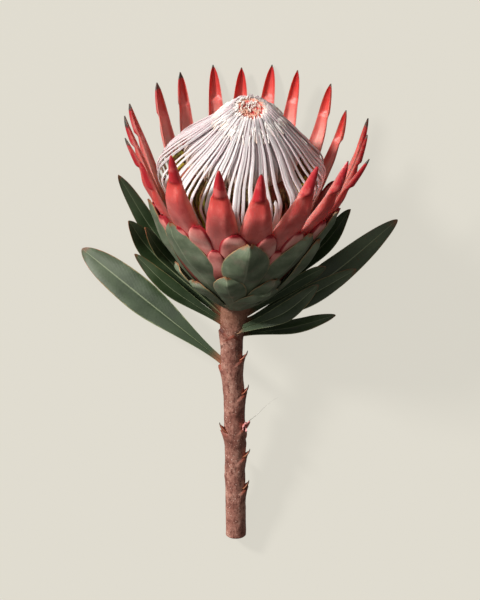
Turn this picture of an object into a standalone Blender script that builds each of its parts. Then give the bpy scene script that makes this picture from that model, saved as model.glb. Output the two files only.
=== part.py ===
"""Sugarbush flower: one cut stem of king sugarbush, lying on its back.

The flower is modelled upright, the way it grows. The head's base is the origin, +Z runs up
through the head, -Y is the side that shows and +Y the side it lies on. An empty then lays it
down, so that it rests on the stem's cut end and on two long bracts of the head.
"""

import math
import random

import bmesh
import bpy
from mathutils import Vector

# Stem and receptacle, which grew as one piece
STEM_SIDES = 20
STEM_RADII = ((-0.1580, 0.0062), (-0.1200, 0.0061), (-0.0800, 0.0063), (-0.0380, 0.0065),
              (-0.0180, 0.0072), (-0.0060, 0.0086), (0.0000, 0.0096))
STEM_SWAY = ((-0.1580, -0.0013), (-0.1100, -0.0018), (-0.0650, -0.0023), (-0.0380, -0.0040),
             (-0.0180, -0.0037), (-0.0080, -0.0026), (0.0000, -0.0004))
HEAD_LEAN = 0.042
RECEPTACLE_RIM_HEIGHT = 0.0300
RECEPTACLE_RISE = 0.0100
TOP_SHARES = (1.0, 0.8, 0.55, 0.25, 0.0)

# Cup of bracts
CUP_BASE_RADIUS = 0.0110
CUP_BULGE = 0.0520
CUP_RISE = 0.0420
CUP_FLARE = 0.11
LAYER_STEP = 0.0027
UNCOVERED_FROM = 0.045
UNCOVERED_TO = 0.100
BRACT_THICKNESS = 0.0016
BRACT_STEP = 0.0100
WIDE_BRACT = 0.0078
LAP = 0.00025
# Rows of bracts from the outermost in: (layer, height of the roots)
SMALL_GREEN_ROW = (3, 0.003)
LARGE_GREEN_ROW = (2, 0.008)
PINK_ROW = (1, 0.016)
LONG_ROW = (0, 0.024)
COLLAR_BELOW = 0.0015
COLLAR_ABOVE = 0.0045
COLLAR_SINK = 0.0008
COLLAR_DEPTH = 0.0018
COLLAR_SIDES = 20
# A bract's margins start to roll in this far up it, and its pointed end keeps this share of width
CURL_FROM = 0.45
BRACT_TIP_SHARE = 0.07

# Clear distance kept between pieces that touch on the real flower
GAP = 0.0003
# Corners this close at the pole of a turned body are one corner
POLE_WELD = 0.00002
SHARP_ANGLE = math.radians(40)

# Dome of styles
STYLE_COUNT = 60
STYLE_WIDTH = 0.0028
STYLE_THICKNESS = 0.0014
STYLE_STRETCHES = 6
# Seeded unevenness: sideways as a share of the spacing, and in or out from the dome
STYLE_STRAY = 0.06
STYLE_BULGE = 0.0004
CORE_SIDES = 28

# Leaves
LEAF_THICKNESS = 0.0010
LEAF_ROOT_HALF_WIDTH = 0.0022
LEAF_ROOT_SINK = 0.0015
LEAF_CELLS = (2, 8)
LEAF_TIP_SHARE = 0.05
# Above 1, a leaf's rows of corners stand closer together towards its round tip
LEAF_TIP_CROWDING = 1.4

# How the flower lies: its axis is raised this far from the surface
LYING_TILT = math.radians(14.18)
HEAD_BASE_PLACE = (-0.0010, 0.0083, 0.0448)


def clear_scene():
    for thing in list(bpy.data.objects):
        bpy.data.objects.remove(thing, do_unlink=True)
    for group in list(bpy.data.collections):
        bpy.data.collections.remove(group)


def material(name, colour, roughness):
    look = bpy.data.materials.new(name)
    look.use_nodes = True
    shader = look.node_tree.nodes["Principled BSDF"]
    shader.inputs["Base Color"].default_value = (*colour, 1.0)
    shader.inputs["Roughness"].default_value = roughness
    shader.inputs["Metallic"].default_value = 0.0
    return look


def read_stations(stations, place):
    """Value at a place on the straight runs between (place, value) stations."""
    for (low, low_value), (high, high_value) in zip(stations, stations[1:]):
        if place <= high:
            share = max((place - low) / (high - low), 0.0)
            return low_value + (high_value - low_value) * share
    return stations[-1][1]


def smooth_step(value, low, high):
    share = min(max((value - low) / (high - low), 0.0), 1.0)
    return share * share * (3.0 - 2.0 * share)


def path_point(points, share):
    """Point at a share (0 to 1) of the smooth curve through a few points."""
    first = 2 * points[0] - points[1]
    last = 2 * points[-1] - points[-2]
    ends = [first, *points, last]
    spans = len(points) - 1
    span = min(int(share * spans), spans - 1)
    t = share * spans - span
    before, start, end, after = ends[span:span + 4]
    return 0.5 * (2 * start + (end - before) * t
                  + (2 * before - 5 * start + 4 * end - after) * t ** 2
                  + (3 * start - before - 3 * end + after) * t ** 3)


def sway(height):
    """Sideways place of the flower's middle line at a height."""
    if height > 0.0015:
        return HEAD_LEAN * height
    return read_stations(STEM_SWAY + ((0.0015, HEAD_LEAN * 0.0015),), height)


def around(radius, azimuth, height):
    """Point at a radius and azimuth round the flower's middle line."""
    return Vector((sway(height) + radius * math.cos(azimuth), radius * math.sin(azimuth), height))


def cup_radius(height):
    """Outer radius of the whole cup of bracts."""
    return CUP_BASE_RADIUS + CUP_BULGE * (1.0 - math.exp(-height / CUP_RISE)) + CUP_FLARE * height


def layer_radius(height, layer):
    """Outer radius of one layer of bracts: 0 holds the long bracts, 3 is the outermost."""
    covered = 1.0 - smooth_step(height, UNCOVERED_FROM, UNCOVERED_TO)
    inset = SMALL_GREEN_ROW[0] * LAYER_STEP * covered
    return cup_radius(height) - inset + layer * LAYER_STEP


def receptacle_radius(height):
    """Radius of the receptacle's side, which steps in under the collar of each row."""
    seats = [(root - COLLAR_BELOW, (SMALL_GREEN_ROW[0] - layer) * LAYER_STEP)
             for layer, root in (SMALL_GREEN_ROW, LARGE_GREEN_ROW, PINK_ROW, LONG_ROW)]
    return cup_radius(height) - read_stations(seats, height) - COLLAR_SINK - COLLAR_DEPTH - 2 * GAP


def receptacle_top(radius):
    """Height of the receptacle's domed top."""
    share = radius / receptacle_radius(RECEPTACLE_RIM_HEIGHT)
    return RECEPTACLE_RIM_HEIGHT + RECEPTACLE_RISE * (1.0 - share * share)


def as_object(name, shape, look, folder):
    """Makes a named object from a bmesh, faces out, and frees the bmesh."""
    bmesh.ops.recalc_face_normals(shape, faces=shape.faces[:])
    if shape.calc_volume(signed=True) < 0.0:
        bmesh.ops.reverse_faces(shape, faces=shape.faces[:])
    mesh = bpy.data.meshes.new(name)
    shape.to_mesh(mesh)
    shape.free()
    mesh.materials.append(look)
    mesh.shade_smooth()
    mesh.set_sharp_from_angle(angle=SHARP_ANGLE)
    thing = bpy.data.objects.new(name, mesh)
    folder.objects.link(thing)
    return thing


def turned(name, profile, sides, closed, look, folder):
    """A turned body: (radius, height) points spun round the flower's middle line."""
    shape = bmesh.new()
    points = [shape.verts.new((radius, 0.0, height)) for radius, height in profile]
    edges = [shape.edges.new(pair) for pair in zip(points, points[1:])]
    if closed:
        edges.append(shape.edges.new((points[-1], points[0])))
    bmesh.ops.spin(shape, geom=points + edges, cent=(0, 0, 0), axis=(0, 0, 1), dvec=(0, 0, 0),
                   angle=math.tau, steps=sides, use_merge=True, use_normal_flip=False,
                   use_duplicate=False)
    bmesh.ops.remove_doubles(shape, verts=shape.verts[:], dist=POLE_WELD)
    for corner in shape.verts:
        corner.co.x += sway(corner.co.z)
    return as_object(name, shape, look, folder)


def blade(name, place, cells, look, folder):
    """A closed blade bent from a flat grid.

    place(across, along, depth) gives each corner's point: across runs -1 to 1 between the
    margins, along 0 to 1 from root to tip, depth is 0 on the outer face and 1 on the inner.
    """
    shape = bmesh.new()
    bmesh.ops.create_grid(shape, x_segments=cells[0], y_segments=cells[1], size=1.0)
    bmesh.ops.triangulate(shape, faces=shape.faces[:], quad_method="FIXED", ngon_method="BEAUTY")
    outer = set(shape.verts)
    bmesh.ops.extrude_face_region(shape, geom=shape.faces[:], use_keep_orig=True)
    for corner in shape.verts:
        depth = 0.0 if corner in outer else 1.0
        corner.co = place(corner.co.x, 0.5 * (corner.co.y + 1.0), depth)
    return as_object(name, shape, look, folder)


def rod(name, place, stretches, look, folder):
    """A closed three-sided rod; place(side, out, share) gives each corner's point."""
    shape = bmesh.new()
    bmesh.ops.create_cone(shape, cap_ends=True, cap_tris=False, segments=3,
                          radius1=1.0, radius2=1.0, depth=2.0)
    long_edges = [edge for edge in shape.edges
                  if abs(edge.verts[0].co.z - edge.verts[1].co.z) > 1.0]
    bmesh.ops.subdivide_edges(shape, edges=long_edges, cuts=stretches - 1, use_grid_fill=True)
    for corner in shape.verts:
        corner.co = place(corner.co.x, corner.co.y, 0.5 * (corner.co.z + 1.0))
    return as_object(name, shape, look, folder)


def fuse(name, pieces, folder):
    """Joins pieces that run into each other as one body and removes the pieces."""
    first, rest = pieces[0], pieces[1:]
    joined = bpy.data.collections.new("joined")
    bpy.context.scene.collection.children.link(joined)
    for piece in rest:
        folder.objects.unlink(piece)
        joined.objects.link(piece)
    union = first.modifiers.new("union", "BOOLEAN")
    union.operation = "UNION"
    union.operand_type = "COLLECTION"
    union.collection = joined
    union.solver = "MANIFOLD"
    evaluated = first.evaluated_get(bpy.context.evaluated_depsgraph_get())
    mesh = bpy.data.meshes.new_from_object(evaluated)
    mesh.name = name
    body = bpy.data.objects.new(name, mesh)
    folder.objects.link(body)
    for piece in [first, *rest]:
        bpy.data.objects.remove(piece, do_unlink=True)
    bpy.data.collections.remove(joined)
    return body


# The stem with its receptacle: one woody body, with the scars of fallen leaves as pointed nubs.
# Each nub is (height, azimuth in degrees).
STEM_NUBS = ((-0.0360, -12), (-0.0590, -4), (-0.0820, -18), (-0.0860, 186), (-0.1026, -6),
             (-0.1245, -3), (-0.0680, 85), (-0.1080, 112), (-0.1390, 78), (-0.0740, -105),
             (-0.1150, -80))
NUB_SIDES = 6
NUB_RADIUS = 0.0046
NUB_TIP_RADIUS = 0.0004
NUB_LENGTH = 0.0095
# How far a nub rises for each unit that it stands out
NUB_RISE = 0.9


def stem_profile():
    """Half section of stem and receptacle, as (radius, height) points from the cut end up."""
    heights = [height for height, _ in STEM_RADII]
    profile = [(0.0, heights[0])]
    profile += [(read_stations(STEM_RADII, height), height) for height in heights]
    seats = [root - COLLAR_BELOW for _, root in (SMALL_GREEN_ROW, LARGE_GREEN_ROW, PINK_ROW, LONG_ROW)]
    profile += [(receptacle_radius(height), height) for height in seats]
    rim = receptacle_radius(RECEPTACLE_RIM_HEIGHT)
    return profile + [(share * rim, receptacle_top(share * rim)) for share in TOP_SHARES]


def nub(name, height, azimuth, look, folder):
    """A leaf scar: a pointed cushion on the stem that leans up and out."""
    shape = bmesh.new()
    bmesh.ops.create_cone(shape, cap_ends=True, cap_tris=False, segments=NUB_SIDES,
                          radius1=NUB_RADIUS, radius2=NUB_TIP_RADIUS, depth=NUB_LENGTH)
    outward = Vector((math.cos(azimuth), math.sin(azimuth), 0.0))
    direction = (outward + Vector((0.0, 0.0, NUB_RISE))).normalized()
    turn = Vector((0.0, 0.0, 1.0)).rotation_difference(direction).to_matrix()
    bmesh.ops.rotate(shape, verts=shape.verts[:], cent=(0, 0, 0), matrix=turn)
    seat = around(read_stations(STEM_RADII, height), azimuth, height)
    bmesh.ops.translate(shape, verts=shape.verts[:], vec=seat)
    return as_object(name, shape, look, folder)


def make_stem(folder):
    look = material("stem bark", (0.26, 0.12, 0.09), 0.75)
    pieces = [turned("stem core", stem_profile(), STEM_SIDES, False, look, folder)]
    for height, azimuth in STEM_NUBS:
        pieces.append(nub("nub", height, math.radians(azimuth), look, folder))
    return fuse("stem", pieces, folder)


# The bracts. Each is (azimuth in degrees, height of the tip, half width, reach), where reach is
# how far the tip leans out from the cup's curve. Azimuth -90 faces the viewer.
SMALL_GREEN_BRACTS = ((-139, 0.027, 0.0090, 0.000), (-104, 0.033, 0.0118, 0.000),
                      (-58, 0.028, 0.0120, 0.000), (-36, 0.058, 0.0080, 0.000),
                      (0, 0.030, 0.0100, 0.000), (38, 0.028, 0.0095, 0.000),
                      (74, 0.031, 0.0100, 0.000), (110, 0.027, 0.0095, 0.000),
                      (146, 0.030, 0.0100, 0.000), (182, 0.028, 0.0095, 0.000))
LARGE_GREEN_BRACTS = ((-137, 0.071, 0.0125, 0.000), (-86, 0.066, 0.0137, 0.000),
                      (-46, 0.065, 0.0120, 0.000), (-24, 0.072, 0.0100, 0.000),
                      (8, 0.063, 0.0120, 0.000), (42, 0.062, 0.0120, 0.000),
                      (76, 0.058, 0.0120, 0.000), (108, 0.059, 0.0120, 0.000),
                      (140, 0.064, 0.0120, 0.000), (170, 0.069, 0.0110, 0.000),
                      (-160, 0.078, 0.0110, 0.000))
FRONT_PINK_SCALES = ((-114, 0.078, 0.0070, 0.000), (-94, 0.0735, 0.0085, 0.000),
                     (-75, 0.072, 0.0070, 0.000), (-56, 0.070, 0.0075, 0.000))
OTHER_PINK_SCALES = range(-37, 240, 19)
OTHER_PINK_TIP = 0.071
OTHER_PINK_HALF_WIDTH = 0.0075
LONG_BRACTS = ((-127.5, 0.123, 0.0088, 0.000), (-103, 0.119, 0.0088, 0.000),
               (-83, 0.117, 0.0088, 0.000), (-57.5, 0.117, 0.0088, 0.000),
               (-34, 0.111, 0.0080, 0.000), (-19, 0.106, 0.0068, 0.0075),
               (-10, 0.116, 0.0060, 0.0012), (2, 0.120, 0.0060, 0.000),
               (30, 0.111, 0.0066, -0.001), (45.4, 0.121, 0.0075, 0.000),
               (65, 0.124, 0.0062, 0.000), (78, 0.122, 0.0068, 0.0051),
               (92.4, 0.123, 0.0064, 0.000), (106, 0.123, 0.0070, 0.0065),
               (123.4, 0.125, 0.0064, 0.000), (138, 0.123, 0.0068, 0.000),
               (164.4, 0.122, 0.0064, 0.000), (177, 0.121, 0.0062, 0.000),
               (190, 0.114, 0.0066, 0.002), (203, 0.105, 0.0080, 0.000))


def bract_outline(along, root_share, widest, tip_power):
    """Share of a bract's full width: swells from the root, then closes to a pointed tip."""
    if along < widest:
        return root_share + (1.0 - root_share) * math.sin(0.5 * math.pi * along / widest)
    rest = (along - widest) / (1.0 - widest)
    return max(1.0 - rest ** tip_power, BRACT_TIP_SHARE)


def bract_place(azimuth, root, tip, half_width, reach, layer, outline, curl):
    """Place function of a bract that hugs the cup in its layer.

    curl is how far, as a share of its half width, its margins roll in towards the tip.
    """
    def place(across, along, depth):
        height = root + (tip - root) * along
        shell = layer_radius(height, layer)
        half = half_width * bract_outline(along, *outline)
        rolled = curl * half * across * across * smooth_step(along, CURL_FROM, 1.0)
        # The lean begins half way up
        leaned = reach * max(2.0 * along - 1.0, 0.0) ** 2
        radius = shell + leaned + LAP * across - rolled - BRACT_THICKNESS * depth
        return around(radius, azimuth + across * half / shell, height)
    return place


def collar(root, layer, look, folder):
    """The ring in which a row's roots grow together on the receptacle."""
    outer = [(layer_radius(height, layer) - COLLAR_SINK, height)
             for height in (root - COLLAR_BELOW, root + COLLAR_ABOVE)]
    inner = [(radius - COLLAR_DEPTH, height) for radius, height in outer]
    return turned("collar", outer + inner[::-1], COLLAR_SIDES, True, look, folder)


def bract_row(name, bracts, row, outline, curl, look, folder):
    """One row of bracts, grown together at their roots."""
    layer, root = row
    pieces = [collar(root, layer, look, folder)]
    for azimuth, tip, half_width, reach in bracts:
        cells = (4 if half_width > WIDE_BRACT else 2, math.ceil((tip - root) / BRACT_STEP))
        place = bract_place(math.radians(azimuth), root, tip, half_width, reach, layer, outline, curl)
        pieces.append(blade("bract", place, cells, look, folder))
    return fuse(name, pieces, folder)


def make_bracts(folder):
    green = material("green bract", (0.13, 0.19, 0.12), 0.55)
    pink = material("pink scale", (0.58, 0.27, 0.25), 0.55)
    coral = material("long bract", (0.58, 0.12, 0.10), 0.45)
    other_scales = [(azimuth, OTHER_PINK_TIP, OTHER_PINK_HALF_WIDTH, 0.0)
                    for azimuth in OTHER_PINK_SCALES]
    pink_scales = [*FRONT_PINK_SCALES, *other_scales]
    return [
        bract_row("green_bracts_small", SMALL_GREEN_BRACTS, SMALL_GREEN_ROW, (0.75, 0.60, 3.0), 0.0,
                  green, folder),
        bract_row("green_bracts_large", LARGE_GREEN_BRACTS, LARGE_GREEN_ROW, (0.50, 0.68, 2.0), 0.0,
                  green, folder),
        bract_row("pink_scales", pink_scales, PINK_ROW, (0.60, 0.65, 3.0), 0.0,
                  pink, folder),
        bract_row("long_bracts", LONG_BRACTS, LONG_ROW, (0.60, 0.45, 2.0), 0.5,
                  coral, folder),
    ]


# The dome of styles: rods that spring from the receptacle, bulge and close in at the peak,
# round a smaller core of packed florets. Points are (radius, height).
STYLE_PATH = ((0.0300, 0.0400), (0.0385, 0.0470), (0.0455, 0.0620), (0.0492, 0.0800),
              (0.0472, 0.0940), (0.0400, 0.1055), (0.0265, 0.1165), (0.0150, 0.1240),
              (0.0088, 0.1290))
SHORT_STYLE_PATH = STYLE_PATH[:-3] + ((0.0300, 0.1130), (0.0270, 0.1110))
CORE_PROFILE = ((0.0320, 0.0400), (0.0345, 0.0500), (0.0390, 0.0650), (0.0415, 0.0800),
                (0.0390, 0.0930), (0.0295, 0.1060), (0.0200, 0.1150), (0.0130, 0.1220),
                (0.0102, 0.1300), (0.0080, 0.1325), (0.0060, 0.1290), (0.0000, 0.1250))


def style_place(path, azimuth, bulge):
    """Place function of one rod that follows (radius, height) points at its azimuth."""
    points = [Vector((radius, height, 0.0)) for radius, height in path]

    def place(side, out, share):
        here = path_point(points, share)
        ahead = path_point(points, min(share + 0.01, 1.0)) - path_point(points, max(share - 0.01, 0.0))
        outward = Vector((ahead.y, -ahead.x)).normalized()
        # Slim at the root, full over the bulge and slim again where the rods close in
        taper = 0.6 + 0.4 * smooth_step(share, 0.0, 0.25) - 0.5 * smooth_step(share, 0.6, 1.0)
        # The rod's section is a triangle of radius 1: 1.5 deep and the root of 3 wide
        raised = out / 1.5 * STYLE_THICKNESS
        sideways = side / math.sqrt(3.0) * STYLE_WIDTH * taper
        radius = here.x + bulge * math.sin(math.pi * share) + outward.x * raised
        height = here.y + outward.y * raised
        along_rim = Vector((-math.sin(azimuth), math.cos(azimuth), 0.0))
        return around(radius, azimuth, height) + along_rim * sideways
    return place


def make_styles(folder):
    look = material("style", (0.78, 0.72, 0.72), 0.5)
    draw = random.Random(5)
    rim = receptacle_radius(RECEPTACLE_RIM_HEIGHT)
    under = [(share * rim, receptacle_top(share * rim) + 2 * GAP) for share in reversed(TOP_SHARES)]
    pieces = [turned("core", under + list(CORE_PROFILE), CORE_SIDES, False, look, folder)]
    for number in range(STYLE_COUNT):
        azimuth = math.tau * (number + draw.uniform(-STYLE_STRAY, STYLE_STRAY)) / STYLE_COUNT
        path = STYLE_PATH if number % 2 else SHORT_STYLE_PATH
        place = style_place(path, azimuth, draw.uniform(-STYLE_BULGE, STYLE_BULGE))
        pieces.append(rod("style", place, STYLE_STRETCHES, look, folder))
    return fuse("styles", pieces, folder)


# The leaves, each drawn through three places: root (height and azimuth on the stem), middle and
# tip. facing is the way its upper face looks, fold how far its halves fold up.
LEAVES = (
    # name, root height, root azimuth, middle, tip, half width, facing, fold
    ("leaf_left_large", -0.0394, 178, (-0.0528, 0.0220, -0.0114), (-0.0948, 0.0478, 0.0134),
     0.0100, (0.05, -0.90, 0.45), 0.10),
    ("leaf_left_narrow", -0.0118, 202, (-0.0396, -0.0025, 0.0105), (-0.0618, 0.0020, 0.0317),
     0.0056, (0.30, -0.80, 0.50), 0.25),
    ("leaf_left_folded", -0.0095, 163, (-0.0498, 0.0150, 0.0247), (-0.0654, 0.0120, 0.0488),
     0.0075, (0.55, -0.80, 0.20), 0.30),
    ("leaf_left_upper", -0.0065, 125, (-0.0468, 0.0270, 0.0289), (-0.0714, 0.0180, 0.0760),
     0.0060, (0.55, -0.80, 0.10), 0.15),
    ("leaf_left_dark", -0.0060, 178, (-0.0438, 0.0080, 0.0275), (-0.0552, -0.0020, 0.0510),
     0.0055, (0.80, -0.50, 0.20), 0.20),
    ("leaf_right_large", -0.0165, 28, (0.0510, 0.0280, 0.0010), (0.0969, 0.0525, 0.0307),
     0.0095, (-0.05, -0.85, 0.50), 0.10),
    ("leaf_right_second", -0.0135, 6, (0.0390, 0.0120, -0.0032), (0.0714, 0.0220, 0.0120),
     0.0065, (-0.10, -0.85, 0.50), 0.15),
    ("leaf_front_right", -0.0160, -75, (0.0270, -0.0120, -0.0010), (0.0480, -0.0100, 0.0169),
     0.0060, (0.0, -0.80, 0.60), 0.12),
    ("leaf_right_low", -0.0205, 0, (0.0330, 0.0040, -0.0180), (0.0588, 0.0080, -0.0119),
     0.0070, (0.0, -0.35, 0.95), 0.20),
    ("leaf_right_dark", -0.0075, 2, (0.0365, 0.0040, 0.0127), (0.0528, 0.0080, 0.0201),
     0.0050, (-0.60, -0.50, 0.60), 0.20),
    ("leaf_right_upper", -0.0100, 52, (0.0480, 0.0200, 0.0256), (0.0668, 0.0050, 0.0596),
     0.0060, (-0.60, -0.75, 0.25), 0.15),
    ("leaf_back_right", -0.0045, 76, (0.0240, 0.0360, 0.0140), (0.0320, 0.0500, 0.0480),
     0.0095, (-0.50, -0.80, 0.50), 0.10),
    ("leaf_back_middle", -0.0190, 92, (0.0000, 0.0360, 0.0060), (-0.0020, 0.0545, 0.0460),
     0.0100, (0.0, -0.85, 0.50), 0.10),
    ("leaf_back_left", -0.0150, 125, (-0.0300, 0.0380, 0.0140), (-0.0400, 0.0460, 0.0440),
     0.0090, (0.50, -0.80, 0.50), 0.10),
)


def leaf_outline(along):
    """Share of a leaf's full width: a slim stalk, a long swell and a blunt tip."""
    stalk = 1.0 - smooth_step(along, 0.0, 0.45)
    rest = max((along - 0.55) / 0.45, 0.0)
    return max((1.0 - stalk) * (1.0 - rest ** 2.8), LEAF_TIP_SHARE), stalk


def leaf_place(root, middle, tip, half_width, facing, fold):
    """Place function of a leaf along the smooth curve through its root, middle and tip."""
    points = [root, Vector(middle), Vector(tip)]

    def place(across, row, depth):
        along = 1.0 - (1.0 - row) ** LEAF_TIP_CROWDING
        here = path_point(points, along)
        ahead = path_point(points, min(along + 0.02, 1.0)) - path_point(points, max(along - 0.02, 0.0))
        ahead.normalize()
        side = ahead.cross(Vector(facing)).normalized()
        up = side.cross(ahead).normalized()
        swell, stalk = leaf_outline(along)
        half = half_width * swell + LEAF_ROOT_HALF_WIDTH * stalk
        folded = fold * half * abs(across)
        return here + side * across * half + up * (folded - LEAF_THICKNESS * depth)
    return place


def make_seat(look, folder):
    """Cutter that trims each leaf's root to the stem: the stem's own shape, a gap larger."""
    profile = [(radius + GAP if radius > 0.0 else 0.0, height) for radius, height in stem_profile()]
    seat = turned("leaf_seat", profile, STEM_SIDES, False, look, folder)
    seat.hide_render = True
    seat.display_type = "WIRE"
    return seat


def make_leaves(seat, look, folder):
    leaves = []
    for name, height, azimuth, middle, tip, half_width, facing, fold in LEAVES:
        direction = math.radians(azimuth)
        root = around(read_stations(STEM_RADII, height) - LEAF_ROOT_SINK, direction, height)
        place = leaf_place(root, middle, tip, half_width, facing, fold)
        leaf = blade(name, place, LEAF_CELLS, look, folder)
        trim = leaf.modifiers.new("seat on the stem", "BOOLEAN")
        trim.operation = "DIFFERENCE"
        trim.object = seat
        leaves.append(leaf)
    return leaves


def lay_down(pieces, folder):
    """Parents every piece to an empty that lays the flower on its back."""
    holder = bpy.data.objects.new("laid_down", None)
    holder.rotation_euler = (LYING_TILT - math.radians(90), 0.0, 0.0)
    holder.location = HEAD_BASE_PLACE
    folder.objects.link(holder)
    for piece in pieces:
        piece.parent = holder


def main():
    clear_scene()
    flower = bpy.data.collections.new("sugarbush_flower")
    bpy.context.scene.collection.children.link(flower)
    cutters = bpy.data.collections.new("cutters")
    bpy.context.scene.collection.children.link(cutters)
    leaf_look = material("leaf", (0.07, 0.11, 0.07), 0.45)
    seat = make_seat(leaf_look, cutters)
    pieces = [make_stem(flower), *make_bracts(flower), make_styles(flower),
              *make_leaves(seat, leaf_look, flower)]
    lay_down([*pieces, seat], flower)
    bpy.context.view_layer.update()


main()
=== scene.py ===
"""Sugarbush flower: the looks of one cut stem of king sugarbush, lying on its back.

Every piece is modelled upright, the way the flower grows: the head's base is the origin, +Z
runs up through the head, -Y is the side that shows and +Y the side that it lies on. A finished
piece is then laid down, in its mesh, as the solids are.
"""
import math
import random

import bmesh
import bpy
from mathutils import Matrix, Vector, noise


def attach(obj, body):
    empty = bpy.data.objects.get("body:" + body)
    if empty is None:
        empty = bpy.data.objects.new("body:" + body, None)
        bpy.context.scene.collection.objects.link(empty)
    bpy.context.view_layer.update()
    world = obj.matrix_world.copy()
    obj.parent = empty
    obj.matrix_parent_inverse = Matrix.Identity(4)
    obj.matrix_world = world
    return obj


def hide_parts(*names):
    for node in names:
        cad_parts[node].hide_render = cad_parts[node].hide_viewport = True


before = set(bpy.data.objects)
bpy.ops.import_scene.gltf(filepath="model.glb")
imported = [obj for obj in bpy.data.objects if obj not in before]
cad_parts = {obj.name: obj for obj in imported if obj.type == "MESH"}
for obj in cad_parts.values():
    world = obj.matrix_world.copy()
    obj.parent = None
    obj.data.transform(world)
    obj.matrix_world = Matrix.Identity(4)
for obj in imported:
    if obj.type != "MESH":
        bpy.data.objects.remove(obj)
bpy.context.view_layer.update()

scene = bpy.context.scene
scene.view_settings.view_transform = "Standard"


# The stem is one woody piece with the receptacle, the domed bowl that carries the head. Its bark
# is thin and mottled, and each fallen leaf has left a ledge with a pointed spur.
HEAD_BASE_PLACE = Vector((-0.0010, 0.0083, 0.0448))
LYING_TILT = math.radians(14.18)
LYING = Matrix.Translation(HEAD_BASE_PLACE) @ Matrix.Rotation(LYING_TILT - math.radians(90), 4, "X")
SHARP_ANGLE = math.radians(50)
WELD = 0.000005

HEAD_LEAN = 0.042
STEM_RADII = ((-0.1580, 0.0062), (-0.1200, 0.0061), (-0.0800, 0.0063), (-0.0380, 0.0065),
              (-0.0180, 0.0072), (-0.0060, 0.0086), (0.0000, 0.0096))
STEM_SWAY = ((-0.1580, -0.0013), (-0.1100, -0.0018), (-0.0650, -0.0023), (-0.0380, -0.0040),
             (-0.0180, -0.0037), (-0.0080, -0.0026), (0.0000, -0.0004),
             (0.0015, HEAD_LEAN * 0.0015))
STEM_CUT = -0.1580
STEM_ROW_STEP = 0.0006
STEM_SEGMENTS = 84
RECEPTACLE_RIM_HEIGHT = 0.0300
RECEPTACLE_RISE = 0.0100
RECEPTACLE_ROWS = 14
RECEPTACLE_UNDER_ROWS = 0.0030
SWAY_FLOWS_BELOW = -0.004

CUP_BASE_RADIUS = 0.0110
CUP_BULGE = 0.0520
CUP_RISE = 0.0420
CUP_FLARE = 0.11
LAYER_STEP = 0.0027
LAYERS_OUTSIDE = 3
ALL_LAYERS_FROM = 0.0225
UNCOVERED_FROM = 0.045
UNCOVERED_TO = 0.100

# Ledges of fallen leaves: (height, azimuth in degrees, how far they stand out)
LEDGES = ((-0.0350, -20, 0.0020), (-0.0585, -14, 0.0020), (-0.0815, -16, 0.0015),
          (-0.0850, 192, 0.0024), (-0.1015, -14, 0.0017), (-0.1235, -10, 0.0019),
          (-0.0680, 85, 0.0018), (-0.1080, 112, 0.0018), (-0.1390, 78, 0.0016),
          (-0.0440, 128, 0.0016), (-0.0930, 40, 0.0014), (-0.0418, 180, 0.0017),
          (-0.0158, -152, 0.0013), (-0.0190, -86, 0.0007))
LEDGE_HALF_WIDTH = 0.0078
LEDGE_SLOPE = 0.80
LEDGE_RUN = 0.0120
LEDGE_REACH = 0.02
LEDGE_TOP_RUN = 0.0013
LEDGE_RIM_BELOW = 0.0004
LEDGE_RIM_SPREAD = 0.0011
# Fine unevenness of the bark: (size, scale round the stem, scale along it)
BARK_NOISE = ((0.00022, 160, 160), (0.00012, 420, 420), (0.00010, 900, 200))
# Small buds and pits in the bark: (height, azimuth in degrees, how far out, radius). They fade
# to nothing a few of their radii away.
BARK_MARKS = ((-0.0698, -98, 0.0006, 0.0009), (-0.1102, -80, -0.0005, 0.0012),
              (-0.0260, -150, 0.0007, 0.0022), (-0.0148, -60, 0.0010, 0.0030),
              (-0.1290, -120, 0.0004, 0.0016), (-0.0480, -110, 0.0004, 0.0018),
              (-0.1180, 160, 0.0005, 0.0020), (-0.0560, 60, 0.0005, 0.0016))
BARK_MARK_REACH = 2.5
# Places in the stem's list of looks, in which the bark is 0
CUT_END, SPUR, BUD, HAIR = 1, 2, 3, 4


def smooth_step(value, low, high):
    """0 below low, 1 above high and a soft rise between."""
    share = min(max((value - low) / (high - low), 0.0), 1.0)
    return share * share * (3.0 - 2.0 * share)


def read_stations(stations, place):
    """Value at a place on the straight runs between (place, value) stations."""
    for (low, low_value), (high, high_value) in zip(stations, stations[1:]):
        if place <= high:
            share = max((place - low) / (high - low), 0.0)
            return low_value + (high_value - low_value) * share
    return stations[-1][1]


def flowing(stations, place):
    """Value at a place on the smooth curve through (place, value) stations."""
    step = 0.12 * (stations[-1][0] - stations[0][0]) / len(stations)
    around_it = (read_stations(stations, place + shift * step) for shift in (-3, -2, -1, 0, 1, 2, 3))
    return sum(weight * value for weight, value in zip((1, 2, 3, 4, 3, 2, 1), around_it)) / 16.0


def sway(height):
    """Sideways place of the flower's middle line at a height."""
    if height > STEM_SWAY[-1][0]:
        return HEAD_LEAN * height
    return flowing(STEM_SWAY, height) if height < SWAY_FLOWS_BELOW else read_stations(STEM_SWAY, height)


def around(radius, azimuth, height):
    """Point at a radius and azimuth round the flower's middle line."""
    return Vector((sway(height) + radius * math.cos(azimuth), radius * math.sin(azimuth), height))


def cup_radius(height):
    """Outer radius of the whole cup of bracts."""
    return CUP_BASE_RADIUS + CUP_BULGE * (1.0 - math.exp(-height / CUP_RISE)) + CUP_FLARE * height


def receptacle_radius(height):
    """Radius of the receptacle, which lies inside one layer of bracts after another."""
    inset = LAYERS_OUTSIDE * min(height / ALL_LAYERS_FROM, 1.0) * LAYER_STEP
    return cup_radius(height) - inset - RECEPTACLE_UNDER_ROWS


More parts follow.
